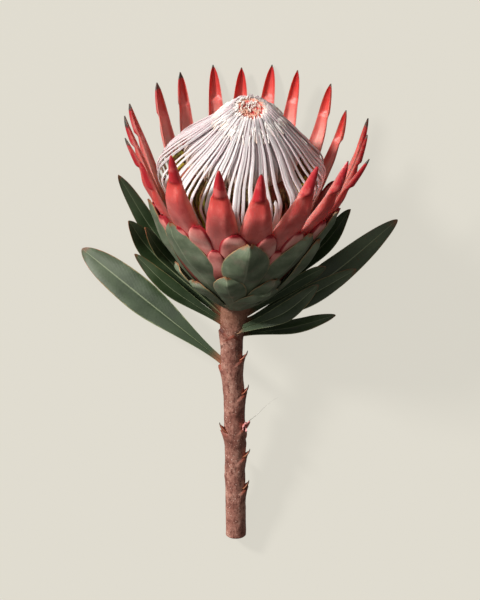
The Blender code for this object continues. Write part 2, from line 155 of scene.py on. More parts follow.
def new_shape():
    """An empty mesh under work, with what its materials read.

    blade holds where a point is on its own blade or rod, grown its upright place, and draw one
    number: a blade's or rod's random draw, how near the bark is to a ledge's rim, or how many
    millimetres of a long bract's point have dried.
    """
    shape = bmesh.new()
    shape.verts.layers.float_vector.new("blade")
    shape.verts.layers.float_vector.new("grown")
    shape.verts.layers.float.new("draw")
    return shape


def face_out(shape, faces):
    """Turns the faces of one closed body outwards."""
    bmesh.ops.recalc_face_normals(shape, faces=faces)
    for face in faces:
        face.normal_update()
    volume = sum(face.calc_center_median().dot(face.normal) * face.calc_area() for face in faces)
    if volume < 0.0:
        bmesh.ops.reverse_faces(shape, faces=faces)


def finish_piece(name, shape, looks, node):
    """Lays a finished piece down, dresses it, hangs it on the root body and hides its CAD node."""
    grown = shape.verts.layers.float_vector["grown"]
    for corner in shape.verts:
        corner[grown] = corner.co
        corner.co = LYING @ corner.co
    mesh = bpy.data.meshes.new(name)
    shape.to_mesh(mesh)
    shape.free()
    for look in looks:
        mesh.materials.append(look)
    mesh.shade_smooth()
    mesh.set_sharp_from_angle(angle=SHARP_ANGLE)
    piece = bpy.data.objects.new(name, mesh)
    scene.collection.objects.link(piece)
    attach(piece, "root")
    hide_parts(node)


def wrapped(angle):
    """The same angle between half a turn back and half a turn on."""
    return (angle + math.pi) % math.tau - math.pi


def ledge_relief(azimuth, height, radius):
    """How far the ledges of fallen leaves lift the bark, and how near a point is to their rim."""
    lift = 0.0
    rim = 0.0
    for ledge_height, ledge_azimuth, out in LEDGES:
        sideways = wrapped(azimuth - math.radians(ledge_azimuth)) * radius
        if abs(sideways) >= LEDGE_HALF_WIDTH or abs(height - ledge_height) > LEDGE_REACH:
            continue
        crest = out * (1.0 - (sideways / LEDGE_HALF_WIDTH) ** 2) ** 1.5
        below = ledge_height - LEDGE_SLOPE * abs(sideways) - height
        if below > 0.0:
            lift = max(lift, crest * max(1.0 - below / LEDGE_RUN, 0.0) ** 1.6)
        else:
            lift = max(lift, crest * (1.0 - smooth_step(-below, 0.0, LEDGE_TOP_RUN)))
        from_rim = (below + LEDGE_RIM_BELOW) / LEDGE_RIM_SPREAD
        rim = max(rim, crest / out * math.exp(-from_rim ** 2))
    return lift, rim


def bark_relief(azimuth, height, radius):
    """Fine unevenness of the bark, with its small buds and pits."""
    here = around(radius, azimuth, height)
    lift = sum(size * noise.noise(Vector((here.x * wide, here.y * wide, here.z * tall)))
               for size, wide, tall in BARK_NOISE)
    for mark_height, mark_azimuth, out, size in BARK_MARKS:
        across = wrapped(azimuth - math.radians(mark_azimuth)) * radius
        away = math.hypot(across, height - mark_height) / size
        if away < BARK_MARK_REACH:
            lift += out * math.exp(-away * away)
    return lift


def stem_rows():
    """Half section of stem and receptacle, as (radius, height) from the cut end up."""
    count = round(-STEM_CUT / STEM_ROW_STEP)
    rows = [(0.0, STEM_CUT), (0.0020, STEM_CUT), (0.0045, STEM_CUT), (0.0059, STEM_CUT)]
    rows += [(flowing(STEM_RADII, height), height)
             for height in (STEM_CUT + 0.0003 + row * STEM_ROW_STEP for row in range(count))]
    rows += [(receptacle_radius(height), height)
             for height in (RECEPTACLE_RIM_HEIGHT * (row + 1) / RECEPTACLE_ROWS
                            for row in range(RECEPTACLE_ROWS))]
    rim = receptacle_radius(RECEPTACLE_RIM_HEIGHT)
    rows += [(share * rim, RECEPTACLE_RIM_HEIGHT + RECEPTACLE_RISE * (1.0 - share * share))
             for share in (0.9, 0.75, 0.55, 0.3, 0.0)]
    return rows


def spin_rows(shape, rows, segments):
    """Spins (radius, height) points round the upright axis."""
    points = [shape.verts.new((radius, 0.0, height)) for radius, height in rows]
    edges = [shape.edges.new(pair) for pair in zip(points, points[1:])]
    bmesh.ops.spin(shape, geom=points + edges, cent=(0, 0, 0), axis=(0, 0, 1), dvec=(0, 0, 0),
                   angle=math.tau, steps=segments, use_merge=True, use_normal_flip=False,
                   use_duplicate=False)
    bmesh.ops.remove_doubles(shape, verts=shape.verts[:], dist=WELD)


def polar(corner):
    """Radius and azimuth of a corner round the upright axis."""
    return math.hypot(corner.co.x, corner.co.y), math.atan2(corner.co.y, corner.co.x)


stem = new_shape()
spin_rows(stem, stem_rows(), STEM_SEGMENTS)
stem_draw = stem.verts.layers.float["draw"]
for corner in stem.verts:
    height = corner.co.z
    radius, azimuth = polar(corner)
    if STEM_CUT < height < 0.0:
        lift, corner[stem_draw] = ledge_relief(azimuth, height, radius)
        ends = smooth_step(height, STEM_CUT, STEM_CUT + 0.003) * smooth_step(-height, 0.0, 0.004)
        radius += lift + bark_relief(azimuth, height, radius) * ends
    corner.co = around(radius, azimuth, height)
face_out(stem, stem.faces[:])
for face in stem.faces:
    if all(corner.co.z < STEM_CUT + 0.00001 for corner in face.verts):
        face.material_index = CUT_END


def close_body(shape, corners, draw, look):
    """Finishes a closed blade or rod: its draw, its faces turned outwards and its material."""
    draw_layer = shape.verts.layers.float["draw"]
    for corner in corners:
        corner[draw_layer] = draw
    faces = list({face for corner in corners for face in corner.link_faces})
    face_out(shape, faces)
    for face in faces:
        face.material_index = look


def add_blade(shape, place, cells, draw, look=0):
    """Adds a closed blade, bent from a flat grid.

    place(across, along, depth) gives a corner's point and what its material reads: across runs
    -1 to 1 between the margins, along 0 to 1 from root to tip, depth is 0 outside and 1 inside.
    """
    blade_layer = shape.verts.layers.float_vector["blade"]
    flat = bmesh.ops.create_grid(shape, x_segments=cells[0], y_segments=cells[1], size=1.0)["verts"]
    sheet = list({face for corner in flat for face in corner.link_faces})
    doubled = bmesh.ops.extrude_face_region(shape, geom=sheet, use_keep_orig=True)["geom"]
    inner = [thing for thing in doubled if isinstance(thing, bmesh.types.BMVert)]
    for depth, corners in ((0.0, flat), (1.0, inner)):
        for corner in corners:
            along = 0.5 * (corner.co.y + 1.0)
            corner.co, corner[blade_layer] = place(corner.co.x, along, depth)
    close_body(shape, (*flat, *inner), draw, look)


# Spurs: the dried foot of a leaf's stalk, left standing on its ledge. Each is (height, azimuth
# in degrees, length, half width, lean).
SPURS = ((-0.0368, -20, 0.0066, 0.0034, 0.75), (-0.0600, -16, 0.0064, 0.0034, 0.70),
         (-0.0862, 196, 0.0068, 0.0042, 0.62), (-0.1030, -16, 0.0056, 0.0033, 0.80),
         (-0.1248, -14, 0.0056, 0.0036, 0.60), (-0.0695, 85, 0.0058, 0.0026, 0.80),
         (-0.1095, 112, 0.0060, 0.0026, 0.75), (-0.1405, 78, 0.0050, 0.0024, 0.80),
         (-0.0455, 128, 0.0056, 0.0024, 0.75), (-0.0945, 40, 0.0050, 0.0022, 0.80))
SPUR_CELLS = (8, 10)
SPUR_THICKNESS = 0.0010
SPUR_SINK = 0.0012
SPUR_SUNK_SHARE = 0.2


def spur_place(height, azimuth, length, half_width, lean):
    """Place function of a pointed scale that stands out and up from the bark."""
    foot = read_stations(STEM_RADII, height) - SPUR_SINK

    def place(across, along, depth):
        half = half_width * (1.0 - 0.95 * along ** 2.0)
        out = foot + SPUR_SINK + length * lean * math.sin(along * math.pi / 2) * 0.75
        if along < SPUR_SUNK_SHARE:
            out = foot + (out - foot) * along / SPUR_SUNK_SHARE
        rise = length * along ** 1.2
        hollow = 0.0007 * (1.0 - across * across) * (1.0 - along)
        radius = out + (hollow if depth == 0.0 else hollow - SPUR_THICKNESS * (1.15 - along))
        turned_by = across * half / max(radius, 0.004)
        return around(radius, azimuth + turned_by, height + rise), (across, along, depth)
    return place


for number, (height, azimuth, length, half_width, lean) in enumerate(SPURS):
    place = spur_place(height, math.radians(azimuth), length, half_width, lean)
    add_blade(stem, place, SPUR_CELLS, number / len(SPURS), look=SPUR)


# A withered bud on the right of the stem: a few crumpled pink scales with one loose hair. Each
# scale is (turn to the side, length, lift), and the hair's points are upright places.
BUD_HEIGHT = -0.0812
BUD_AZIMUTH = math.radians(-34)
BUD_SCALES = ((-1.3, 0.0058, 0.5), (-0.5, 0.0062, -0.2), (0.35, 0.0058, 0.6), (1.0, 0.0046, 0.1),
              (-0.2, 0.0046, 1.2), (-1.6, 0.0044, -0.5))
BUD_CELLS = (6, 8)
HAIR_POINTS = ((0.0068, -0.0012, -0.0790), (0.0105, -0.0016, -0.0755), (0.0155, -0.0018, -0.0700),
               (0.0205, -0.0014, -0.0655), (0.0246, -0.0010, -0.0628))
HAIR_RADIUS = 0.00017
HAIR_SIDES = 5
HAIR_STRETCHES = 20


def path_point(points, share):
    """Point at a share (0 to 1) of the smooth curve through a few points."""
    first = 2 * points[0] - points[1]
    last = 2 * points[-1] - points[-2]
    ends = [first, *points, last]
    spans = len(points) - 1
    span = min(int(share * spans), spans - 1)
    t = share * spans - span
    before, start, end, after = ends[span:span + 4]
    return 0.5 * (2 * start + (end - before) * t
                  + (2 * before - 5 * start + 4 * end - after) * t ** 2
                  + (3 * start - before - 3 * end + after) * t ** 3)


def path_run(points, share, step):
    """Way along a path, from a step before a share of it to a step after it."""
    return path_point(points, min(share + step, 1.0)) - path_point(points, max(share - step, 0.0))


def add_rod(shape, place, sides, stretches, draw, look=0):
    """Adds a closed rod. place(turn, share) gives a corner's point and what its material reads:
    turn is the angle round the rod and share runs 0 to 1 along it."""
    blade_layer = shape.verts.layers.float_vector["blade"]
    ends = bmesh.ops.create_cone(shape, cap_ends=True, cap_tris=False, segments=sides,
                                 radius1=1.0, radius2=1.0, depth=2.0)["verts"]
    long_edges = list({edge for corner in ends for edge in corner.link_edges
                       if abs(edge.verts[0].co.z - edge.verts[1].co.z) > 1.0})
    cut = bmesh.ops.subdivide_edges(shape, edges=long_edges, cuts=stretches - 1, use_grid_fill=True)
    rings = [thing for thing in cut["geom_inner"] if isinstance(thing, bmesh.types.BMVert)]
    corners = list({corner for ring_corner in rings for edge in ring_corner.link_edges
                    for corner in edge.verts})
    for corner in corners:
        turn = math.atan2(corner.co.y, corner.co.x)
        corner.co, corner[blade_layer] = place(turn, 0.5 * (corner.co.z + 1.0))
    close_body(shape, corners, draw, look)


def round_section(here, ahead, turn, thickness):
    """Point on the round section of a thin rod that runs in the direction ahead."""
    side = ahead.orthogonal().normalized()
    up = ahead.cross(side)
    return here + (side * math.cos(turn) + up * math.sin(turn)) * thickness


def bud_scale_place(side, length, lift):
    """Place function of one crumpled scale of the bud."""
    foot = around(read_stations(STEM_RADII, BUD_HEIGHT) + 0.0004, BUD_AZIMUTH, BUD_HEIGHT)
    outward = Vector((math.cos(BUD_AZIMUTH), math.sin(BUD_AZIMUTH), 0.0))
    sideways = Vector((-outward.y, outward.x, 0.0))
    ahead = (0.55 * outward + side * sideways + Vector((0, 0, lift))).normalized()
    flat = ahead.cross(outward).normalized()
    up = flat.cross(ahead)

    def place(across, along, depth):
        half = 0.0018 * math.sin(math.pi * (0.15 + 0.8 * along)) + 0.0001
        curl = 0.0006 * math.sin(3.0 * along + side) + 0.0005 * across * across
        point = foot + ahead * (length * along - 0.0008) + flat * across * half
        return point + up * (curl - 0.0005 * depth), (across, along, depth)
    return place


def hair_place(points, thickness):
    """Place function of a hair that follows a few points and thins to nothing."""
    def place(turn, share):
        ahead = path_run(points, share, 0.02).normalized()
        thin = thickness * (1.0 - 0.85 * share)
        return round_section(path_point(points, share), ahead, turn, thin), (0.0, share, 0.0)
    return place


for number, (side, length, lift) in enumerate(BUD_SCALES):
    add_blade(stem, bud_scale_place(side, length, lift), BUD_CELLS, number / len(BUD_SCALES), look=BUD)
hair = hair_place([Vector(point) for point in HAIR_POINTS], HAIR_RADIUS)
add_rod(stem, hair, HAIR_SIDES, HAIR_STRETCHES, draw=0.5, look=HAIR)


def colour(red, green, blue):
    """Colour of a material from its 0 to 255 screen levels."""
    return tuple((level / 255.0) ** 2.2 for level in (red, green, blue)) + (1.0,)


class Flow:
    """A number, place or colour on its way through a material's nodes. Sums on it add nodes."""

    def __init__(self, socket):
        self.socket = socket
        self.tree = socket.id_data

    def __add__(self, other):
        return sums("ADD", self, other)

    def __sub__(self, other):
        return sums("SUBTRACT", self, other)

    def __mul__(self, other):
        return sums("MULTIPLY", self, other)

    def __truediv__(self, other):
        return sums("DIVIDE", self, other)

    def __pow__(self, other):
        return sums("POWER", self, other)

    def __abs__(self):
        return sums("ABSOLUTE", self)


def wire(socket, source):
    """Sets a socket to a value, or links what flows out of another node to it."""
    if isinstance(source, Flow):
        source.tree.links.new(source.socket, socket)
    else:
        socket.default_value = source


def sums(operation, first, second=0.0):
    """A Math node."""
    node = first.tree.nodes.new("ShaderNodeMath")
    node.operation = operation
    wire(node.inputs[0], first)
    wire(node.inputs[1], second)
    return Flow(node.outputs[0])


def new_look(name, roughness):
    """A new material and its shader."""
    look = bpy.data.materials.new(name)
    look.use_nodes = True
    shader = look.node_tree.nodes["Principled BSDF"]
    shader.inputs["Roughness"].default_value = roughness
    return look, shader


def reading(shader, name, output="Vector"):
    """What a mesh attribute holds."""
    node = shader.id_data.nodes.new("ShaderNodeAttribute")
    node.attribute_name = name
    return Flow(node.outputs[output])


def split(place):
    """The X, Y and Z of a place."""
    node = place.tree.nodes.new("ShaderNodeSeparateXYZ")
    wire(node.inputs[0], place)
    return [Flow(output) for output in node.outputs]


def stretched(place, scale):
    """A place scaled on each axis, to size a pattern."""
    node = place.tree.nodes.new("ShaderNodeMapping")
    wire(node.inputs["Vector"], place)
    node.inputs["Scale"].default_value = scale
    return Flow(node.outputs[0])


def cloudy(place, scale, detail=3.0, roughness=0.55):
    """Soft noise between about 0.25 and 0.75."""
    node = place.tree.nodes.new("ShaderNodeTexNoise")
    wire(node.inputs["Vector"], place)
    node.inputs["Scale"].default_value = scale
    node.inputs["Detail"].default_value = detail
    node.inputs["Roughness"].default_value = roughness
    return Flow(node.outputs["Fac"])


def between(value, low, high):
    """0 below low, 1 above high and a soft step between; low may be the greater."""
    node = value.tree.nodes.new("ShaderNodeMapRange")
    node.interpolation_type = "SMOOTHSTEP"
    wire(node.inputs["Value"], value)
    wire(node.inputs["From Min"], low)
    wire(node.inputs["From Max"], high)
    return Flow(node.outputs["Result"])


def shades(value, *stops):
    """A run of colours: each stop is (place from 0 to 1, screen levels)."""
    node = value.tree.nodes.new("ShaderNodeValToRGB")
    wire(node.inputs[0], value)
    steps = node.color_ramp.elements
    while len(steps) < len(stops):
        steps.new(0.5)
    for step, (place, levels) in zip(steps, stops):
        step.position = place
        step.color = colour(*levels)
    return Flow(node.outputs["Color"])


def layered(base, *layers):
    """Colours laid over a base in turn. Each layer is (share, shades or screen levels)."""
    for share, tint in layers:
        node = share.tree.nodes.new("ShaderNodeMix")
        node.data_type = "RGBA"
        wire(node.inputs[0], share)
        wire(node.inputs[6], base)
        wire(node.inputs[7], tint if isinstance(tint, Flow) else colour(*tint))
        base = Flow(node.outputs[2])
    return base


def add_relief(shader, height, strength, distance):
    """Gives a material's surface fine relief."""
    node = shader.id_data.nodes.new("ShaderNodeBump")
    wire(node.inputs["Height"], height)
    node.inputs["Strength"].default_value = strength
    node.inputs["Distance"].default_value = distance
    wire(shader.inputs["Normal"], Flow(node.outputs["Normal"]))


def bark_look():
    """Mauve-brown bark: broad mottling, fine streaks along the stem and pale and dark specks."""
    look, shader = new_look("mottled bark", 0.62)
    grown = reading(shader, "grown")
    rim = reading(shader, "draw", "Fac")
    mottle = cloudy(grown, 130.0, 5.0, 0.65)
    streaks = cloudy(stretched(grown, (1.0, 1.0, 0.45)), 620.0, 5.0, 0.68)
    specks = cloudy(grown, 1100.0, 2.0)
    _, _, height = split(grown)
    scar = shades(mottle, (0.35, (84, 38, 29)), (0.60, (144, 72, 53)))
    base = shades(mottle, (0.30, (106, 62, 52)), (0.45, (144, 94, 82)), (0.58, (168, 118, 104)),
                  (0.72, (190, 148, 132)))
    # The browner, darker band at the top of the stem, under the head, is partly the bark's own tone and
    # partly painted shade from the head.
    base = layered(base,
                   (between(streaks, 0.48, 0.66), (108, 64, 54)),
                   (between(specks, 0.62, 0.70), (208, 172, 158)),
                   (between(specks, 0.36, 0.30), (74, 44, 40)),
                   (between(height, -0.022, -0.004) * 0.55, (120, 84, 62)),
                   (between(rim, 0.15, 0.75), scar))
    wire(shader.inputs["Base Color"], base)
    add_relief(shader, streaks * 0.6 + specks * 0.4, 0.55, 0.0006)
    return look


def cut_look():
    """The cut end: pale wood with fine rings, and a browner skin."""
    look, shader = new_look("cut end", 0.8)
    grown = reading(shader, "grown")
    x, y, _ = split(grown)
    off_centre = x - STEM_SWAY[0][1]
    radius = sums("SQRT", off_centre ** 2.0 + abs(y) ** 2.0)
    grain = cloudy(grown, 1600.0)
    rings = radius * 150.0 + grain * 0.12
    wire(shader.inputs["Base Color"],
         shades(rings, (0.10, (176, 150, 112)), (0.30, (218, 196, 158)), (0.62, (206, 178, 138)),
                (0.86, (190, 160, 118)), (0.97, (110, 72, 56))))
    add_relief(shader, grain, 0.6, 0.0004)
    return look


def spur_look():
    """A spur: orange-red on its inner face, brown outside, with a dark dry point."""
    look, shader = new_look("spur", 0.55)
    grown = reading(shader, "grown")
    _, along, inner = split(reading(shader, "blade"))
    _, _, height = split(grown)
    mottle = cloudy(grown, 700.0)
    outer = shades(mottle, (0.35, (120, 66, 48)), (0.65, (172, 104, 80)))
    inside = shades(mottle, (0.35, (148, 66, 46)), (0.65, (196, 110, 78)))
    older = between(height, -0.090, -0.102)
    base = layered(outer, (older * 0.7, (122, 98, 56)), (inner, inside),
                   (between(along, 0.62, 0.98), (52, 30, 24)))
    wire(shader.inputs["Base Color"], base)
    add_relief(shader, mottle, 0.4, 0.0004)
    return look


def bud_look():
    """Withered scales: dark red at the foot, paler and pink towards the tip."""
    look, shader = new_look("withered bud", 0.6)
    _, along, _ = split(reading(shader, "blade"))
    worn = along * 0.6 + cloudy(reading(shader, "grown"), 800.0) * 0.5
    wire(shader.inputs["Base Color"],
         shades(worn, (0.15, (128, 48, 40)), (0.50, (196, 104, 92)), (0.85, (210, 146, 146))))
    return look


def hair_look():
    """Grey hair, uneven in tone."""
    look, shader = new_look("loose hair", 0.45)
    wire(shader.inputs["Base Color"],
         shades(cloudy(reading(shader, "grown"), 300.0), (0.3, (150, 150, 142)), (0.7, (206, 204, 196))))
    return look


finish_piece("stem_bark", stem, [bark_look(), cut_look(), spur_look(), bud_look(), hair_look()],
             "stem")


# The bracts stand in four rows round the receptacle, each grown together at its roots. The two
# lower rows are green and leathery, with a waxy bloom and a thin orange-brown margin.
BRACT_DEPTH = 0.0015
SMALL_GREEN_ROW = (3, 0.0030)
LARGE_GREEN_ROW = (2, 0.0080)
COLLAR_BELOW = 0.0015
COLLAR_ABOVE = 0.0045
COLLAR_SINK = 0.0006
COLLAR_DEPTH = 0.0014
COLLAR_SEGMENTS = 96
BRACT_CROWDING = 1.35
LEFT_PULL = 0.0048
LEFT_PULL_FROM = 0.045
LEFT_PULL_FULL = 0.072
LEFT_PULL_FADES = 0.088
LEFT_PULL_ENDS = 0.120

# Each bract is (azimuth of its tip in degrees, height of the tip, half width, how many degrees
# it swerves from its root to its tip, how far it lies outside its row, height of its fold)
SMALL_GREEN_BRACTS = ((-136, 0.0275, 0.0088, -6, 0.0, 0.0025),
                      (-100, 0.0390, 0.0100, -4, 0.0002, 0.0045),
                      (-60, 0.0250, 0.0105, 34, 0.0016, 0.0036),
                      (-61, 0.0335, 0.0090, 16, -0.0002, 0.0030), (-36, 0.058, 0.0080, 0, 0.0, 0.0020),
                      (0, 0.030, 0.0100, 4, 0.0, 0.0022), (38, 0.028, 0.0095, -3, 0.0, 0.0024),
                      (74, 0.031, 0.0100, 5, 0.0, 0.0020), (110, 0.027, 0.0095, -4, 0.0, 0.0024),
                      (146, 0.030, 0.0100, 3, 0.0, 0.0020), (182, 0.028, 0.0095, -5, 0.0, 0.0022))
LARGE_GREEN_BRACTS = ((-137, 0.072, 0.0150, -22, -0.0004, 0.0030), (-86, 0.067, 0.0143, 3, 0.0010, 0.0074),
                      (-46, 0.066, 0.0126, 26, -0.0001, 0.0040), (-24, 0.072, 0.0100, 4, -0.0008, 0.0018),
                      (8, 0.063, 0.0120, 0, -0.0006, 0.0016), (42, 0.062, 0.0120, 0, -0.0006, 0.0018),
                      (76, 0.058, 0.0120, 0, -0.0006, 0.0020), (108, 0.059, 0.0120, 0, -0.0006, 0.0016),
                      (140, 0.064, 0.0120, 0, -0.0006, 0.0018), (170, 0.069, 0.0110, 0, -0.0008, 0.0014),
                      (-160, 0.078, 0.0110, 0, -0.0008, 0.0014))
GREEN_CELLS = (22, 34)
# Outlines: (share of the way from the root to the tip, share of the full half width)
SMALL_GREEN_OUTLINE = ((0.0, 0.45), (0.25, 0.62), (0.50, 0.86), (0.68, 1.0), (0.80, 0.96),
                       (0.89, 0.76), (0.95, 0.52), (0.985, 0.26), (1.0, 0.03))
LARGE_GREEN_OUTLINE = ((0.0, 0.42), (0.30, 0.55), (0.45, 0.76), (0.57, 0.95), (0.66, 1.0),
                       (0.76, 0.95), (0.85, 0.78), (0.92, 0.54), (0.965, 0.31), (0.99, 0.14),
                       (1.0, 0.03))


def layer_radius(height, layer):
    """Outer radius of one layer of bracts: 0 holds the long bracts, 3 is the outermost."""
    covered = 1.0 - smooth_step(height, UNCOVERED_FROM, UNCOVERED_TO)
    return cup_radius(height) + (layer - LAYERS_OUTSIDE * covered) * LAYER_STEP


def crowded(share, crowding):
    """Share of the way up a blade. Its rows of cells crowd towards the tip, which is narrow."""
    return 1.0 - (1.0 - share) ** crowding


def drawn_in(azimuth, height):
    """How much nearer the bracts stand on the left side, halfway up."""
    side = max(-math.cos(azimuth), 0.0) ** 2
    rise = smooth_step(height, LEFT_PULL_FROM, LEFT_PULL_FULL)
    return LEFT_PULL * side * rise * (1.0 - smooth_step(height, LEFT_PULL_FADES, LEFT_PULL_ENDS))


def green_bract_place(azimuth, root, tip, half_width, swerve, lift, fold, layer, outline, draw):
    """Place function of a spoon-shaped bract, folded along its midrib, that hugs the cup."""
    def place(across, along, depth):
        row = crowded(along, BRACT_CROWDING)
        height = root + (tip - root) * row
        shell = layer_radius(height, layer)
        half = half_width * flowing(outline, row)
        free = smooth_step(row, 0.40, 0.65) * (1.0 - 0.6 * smooth_step(row, 0.85, 1.0))
        ridge = fold * (1.0 - math.sqrt(across * across + 0.014)) * (0.20 + 0.80 * free)
        rolled = 0.0006 * abs(across) ** 3 + 0.0012 * smooth_step(row, 0.86, 1.0)
        wave = 0.0004 * noise.noise(Vector((across * 1.4, row * 3.0, 7.0 * draw)))
        thickness = BRACT_DEPTH * (1.0 - 0.55 * across ** 4) * (1.0 - 0.55 * smooth_step(row, 0.8, 1.0))
        radius = shell - 0.0003 + lift + 0.0006 * free + ridge + wave - rolled - thickness * depth
        radius -= drawn_in(azimuth, height)
        turned_by = across * half / shell - swerve * (1.0 - row)
        return around(radius, azimuth + turned_by, height), (across, row, depth)
    return place


def add_collar(shape, root, layer):
    """The ring in which a row's roots grow together."""
    outer = [(layer_radius(height, layer) - COLLAR_SINK, height)
             for height in (root - COLLAR_BELOW, root + COLLAR_ABOVE)]
    inner = [(radius - COLLAR_DEPTH, height) for radius, height in reversed(outer)]
    spin_rows(shape, [*outer, *inner, outer[0]], COLLAR_SEGMENTS)
    for corner in shape.verts:
        corner.co.x += sway(corner.co.z)
    face_out(shape, shape.faces[:])


def green_row(name, node, bracts, row, outline, seed, looks):
    """One row of green bracts."""
    layer, root = row
    draw = random.Random(seed)
    shape = new_shape()
    add_collar(shape, root, layer)
    for azimuth, tip, half_width, swerve, lift, fold in bracts:
        share = draw.random()
        place = green_bract_place(math.radians(azimuth), root, tip, half_width,
                                  math.radians(swerve), lift, fold, layer, outline, share)
        add_blade(shape, place, GREEN_CELLS, share)
    finish_piece(name, shape, looks, node)


def growth_marks():
    """Shader group that every leaf and bract uses: where its margin, its middle and its tip are,
    how its bloom clouds over and how its veins run."""
    group = bpy.data.node_groups.new("growth marks", "ShaderNodeTree")
    for name, kind in (("Blade", "NodeSocketVector"), ("Grown", "NodeSocketVector"),
                       ("Draw", "NodeSocketFloat")):
        group.interface.new_socket(name=name, in_out="INPUT", socket_type=kind)
    for name in ("Margin", "Middle", "Tip", "Bloom", "Veins"):
        group.interface.new_socket(name=name, in_out="OUTPUT", socket_type="NodeSocketFloat")
    given = group.nodes.new("NodeGroupInput").outputs
    result = group.nodes.new("NodeGroupOutput").inputs
    blade_place, grown, draw = (Flow(given[name]) for name in ("Blade", "Grown", "Draw"))
    across, along, _ = split(blade_place)
    beside = abs(across)
    wander = cloudy(grown, 260.0) * 0.16
    wire(result["Margin"], between(beside + wander, 1.01, 1.055))
    wire(result["Middle"], between(beside, 0.055, 0.015))
    wire(result["Tip"], between(along + wander, 1.03, 1.09))
    shifted = group.nodes.new("ShaderNodeVectorMath")
    shifted.operation = "ADD"
    wire(shifted.inputs[0], grown)
    wire(shifted.inputs[1], draw)
    wire(result["Bloom"], cloudy(Flow(shifted.outputs[0]), 75.0, 5.0, 0.6))
    wire(result["Veins"], cloudy(stretched(blade_place, (14.0, 1.1, 0.0)), 1.6, 3.0, 0.6))
    return group


GROWTH_MARKS = growth_marks()


def marked(shader):
    """Places the growth marks in a material. Returns them by name, the place on the blade and
    the upright place."""
    blade_place = reading(shader, "blade")
    grown = reading(shader, "grown")
    node = shader.id_data.nodes.new("ShaderNodeGroup")
    node.node_tree = GROWTH_MARKS
    wire(node.inputs["Blade"], blade_place)
    wire(node.inputs["Grown"], grown)
    wire(node.inputs["Draw"], reading(shader, "draw", "Fac"))
    return {output.name: Flow(output) for output in node.outputs}, blade_place, grown


def green_bract_look():
    """Grey-green under a waxy bloom, with an orange-brown margin and tip."""
    look, shader = new_look("green bract", 0.55)
    marks, blade_place, grown = marked(shader)
    _, along, inner = split(blade_place)
    freckles = cloudy(grown, 620.0, 4.0, 0.7)
    blush = between(cloudy(grown, 110.0), 0.52, 0.68)
    rim = shades(along, (0.40, (120, 126, 98)), (0.80, (176, 150, 112)), (1.0, (176, 108, 62)))
    base = shades(marks["Bloom"], (0.28, (74, 86, 66)), (0.50, (100, 112, 90)), (0.72, (132, 142, 120)))
    base = layered(base,
                   (between(freckles, 0.56, 0.70) * 0.35, (136, 128, 104)),
                   (between(marks["Veins"], 0.52, 0.72) * 0.22, (66, 84, 62)),
                   (blush * 0.40, (128, 112, 102)),
                   (marks["Middle"] * 0.42, (150, 158, 134)),
                   (inner, (112, 118, 92)),
                   (marks["Margin"] * 0.70, rim),
                   (marks["Tip"] * 0.75, (146, 84, 46)))
    wire(shader.inputs["Base Color"], base)
    wire(shader.inputs["Roughness"], marks["Bloom"] * 0.25 + 0.42)
    add_relief(shader, marks["Veins"] + cloudy(grown, 900.0) * 0.35, 0.25, 0.0004)
    return look


GREEN_BRACT_LOOK = green_bract_look()
green_row("small_green_bracts", "green_bracts_small", SMALL_GREEN_BRACTS, SMALL_GREEN_ROW,
          SMALL_GREEN_OUTLINE, 31, [GREEN_BRACT_LOOK])
green_row("large_green_bracts", "green_bracts_large", LARGE_GREEN_BRACTS, LARGE_GREEN_ROW,
          LARGE_GREEN_OUTLINE, 32, [GREEN_BRACT_LOOK])


# Pink scales: a row of short, rounded, fleshy bracts above the green ones, pale pink under a
# white bloom, with a red rim where one lies on the next.
PINK_ROW = (1, 0.0160)
PINK_CELLS = (14, 24)
PINK_OUTLINE = ((0.0, 0.60), (0.35, 0.86), (0.65, 1.0), (0.80, 0.96), (0.90, 0.80), (0.96, 0.56),
                (0.99, 0.28), (1.0, 0.03))
FRONT_PINK_SCALES = ((-117, 0.0770, 0.0082, 0.0), (-95, 0.0735, 0.0098, 0.0),
                     (-75, 0.072, 0.0075, 0.0), (-56, 0.070, 0.0075, 0.0))
# Scales of a second, lower set that lie on the first: the last number lifts them outwards
LOWER_PINK_SCALES = ((-108, 0.0590, 0.0064, 0.0011), (-66, 0.0570, 0.0055, 0.0011))
OTHER_PINK_AZIMUTHS = range(-37, 240, 19)
OTHER_PINK_TIP = 0.071
OTHER_PINK_HALF_WIDTH = 0.0078


def pink_scale_place(azimuth, tip, half_width, lift, draw):
    """Place function of a rounded, fleshy scale. lift is how far it lies outside its row."""
    layer, root = PINK_ROW
    depth_full = 0.0009 if lift > 0.0 else BRACT_DEPTH

    def place(across, along, depth):
        row = crowded(along, BRACT_CROWDING)
        height = root + (tip - root) * row
        shell = layer_radius(height, layer) + lift
        half = half_width * flowing(PINK_OUTLINE, row)
        rounded = math.sqrt(max(1.0 - across ** 4, 0.0)) * smooth_step(row, 0.1, 0.5)
        belly = (0.0010 + 0.0012 * smooth_step(height, 0.060, 0.068)) * rounded
        tucked = 0.0006 * across ** 4 + 0.0011 * smooth_step(row, 0.88, 1.0)
        wave = 0.0003 * noise.noise(Vector((across * 1.2, row * 2.5, 11.0 * draw)))
        radius = shell + belly + wave - tucked - depth_full * (1.0 - 0.4 * across ** 4) * depth
        radius -= drawn_in(azimuth, height)
        return around(radius, azimuth + across * half / shell, height), (across, row, depth)
    return place


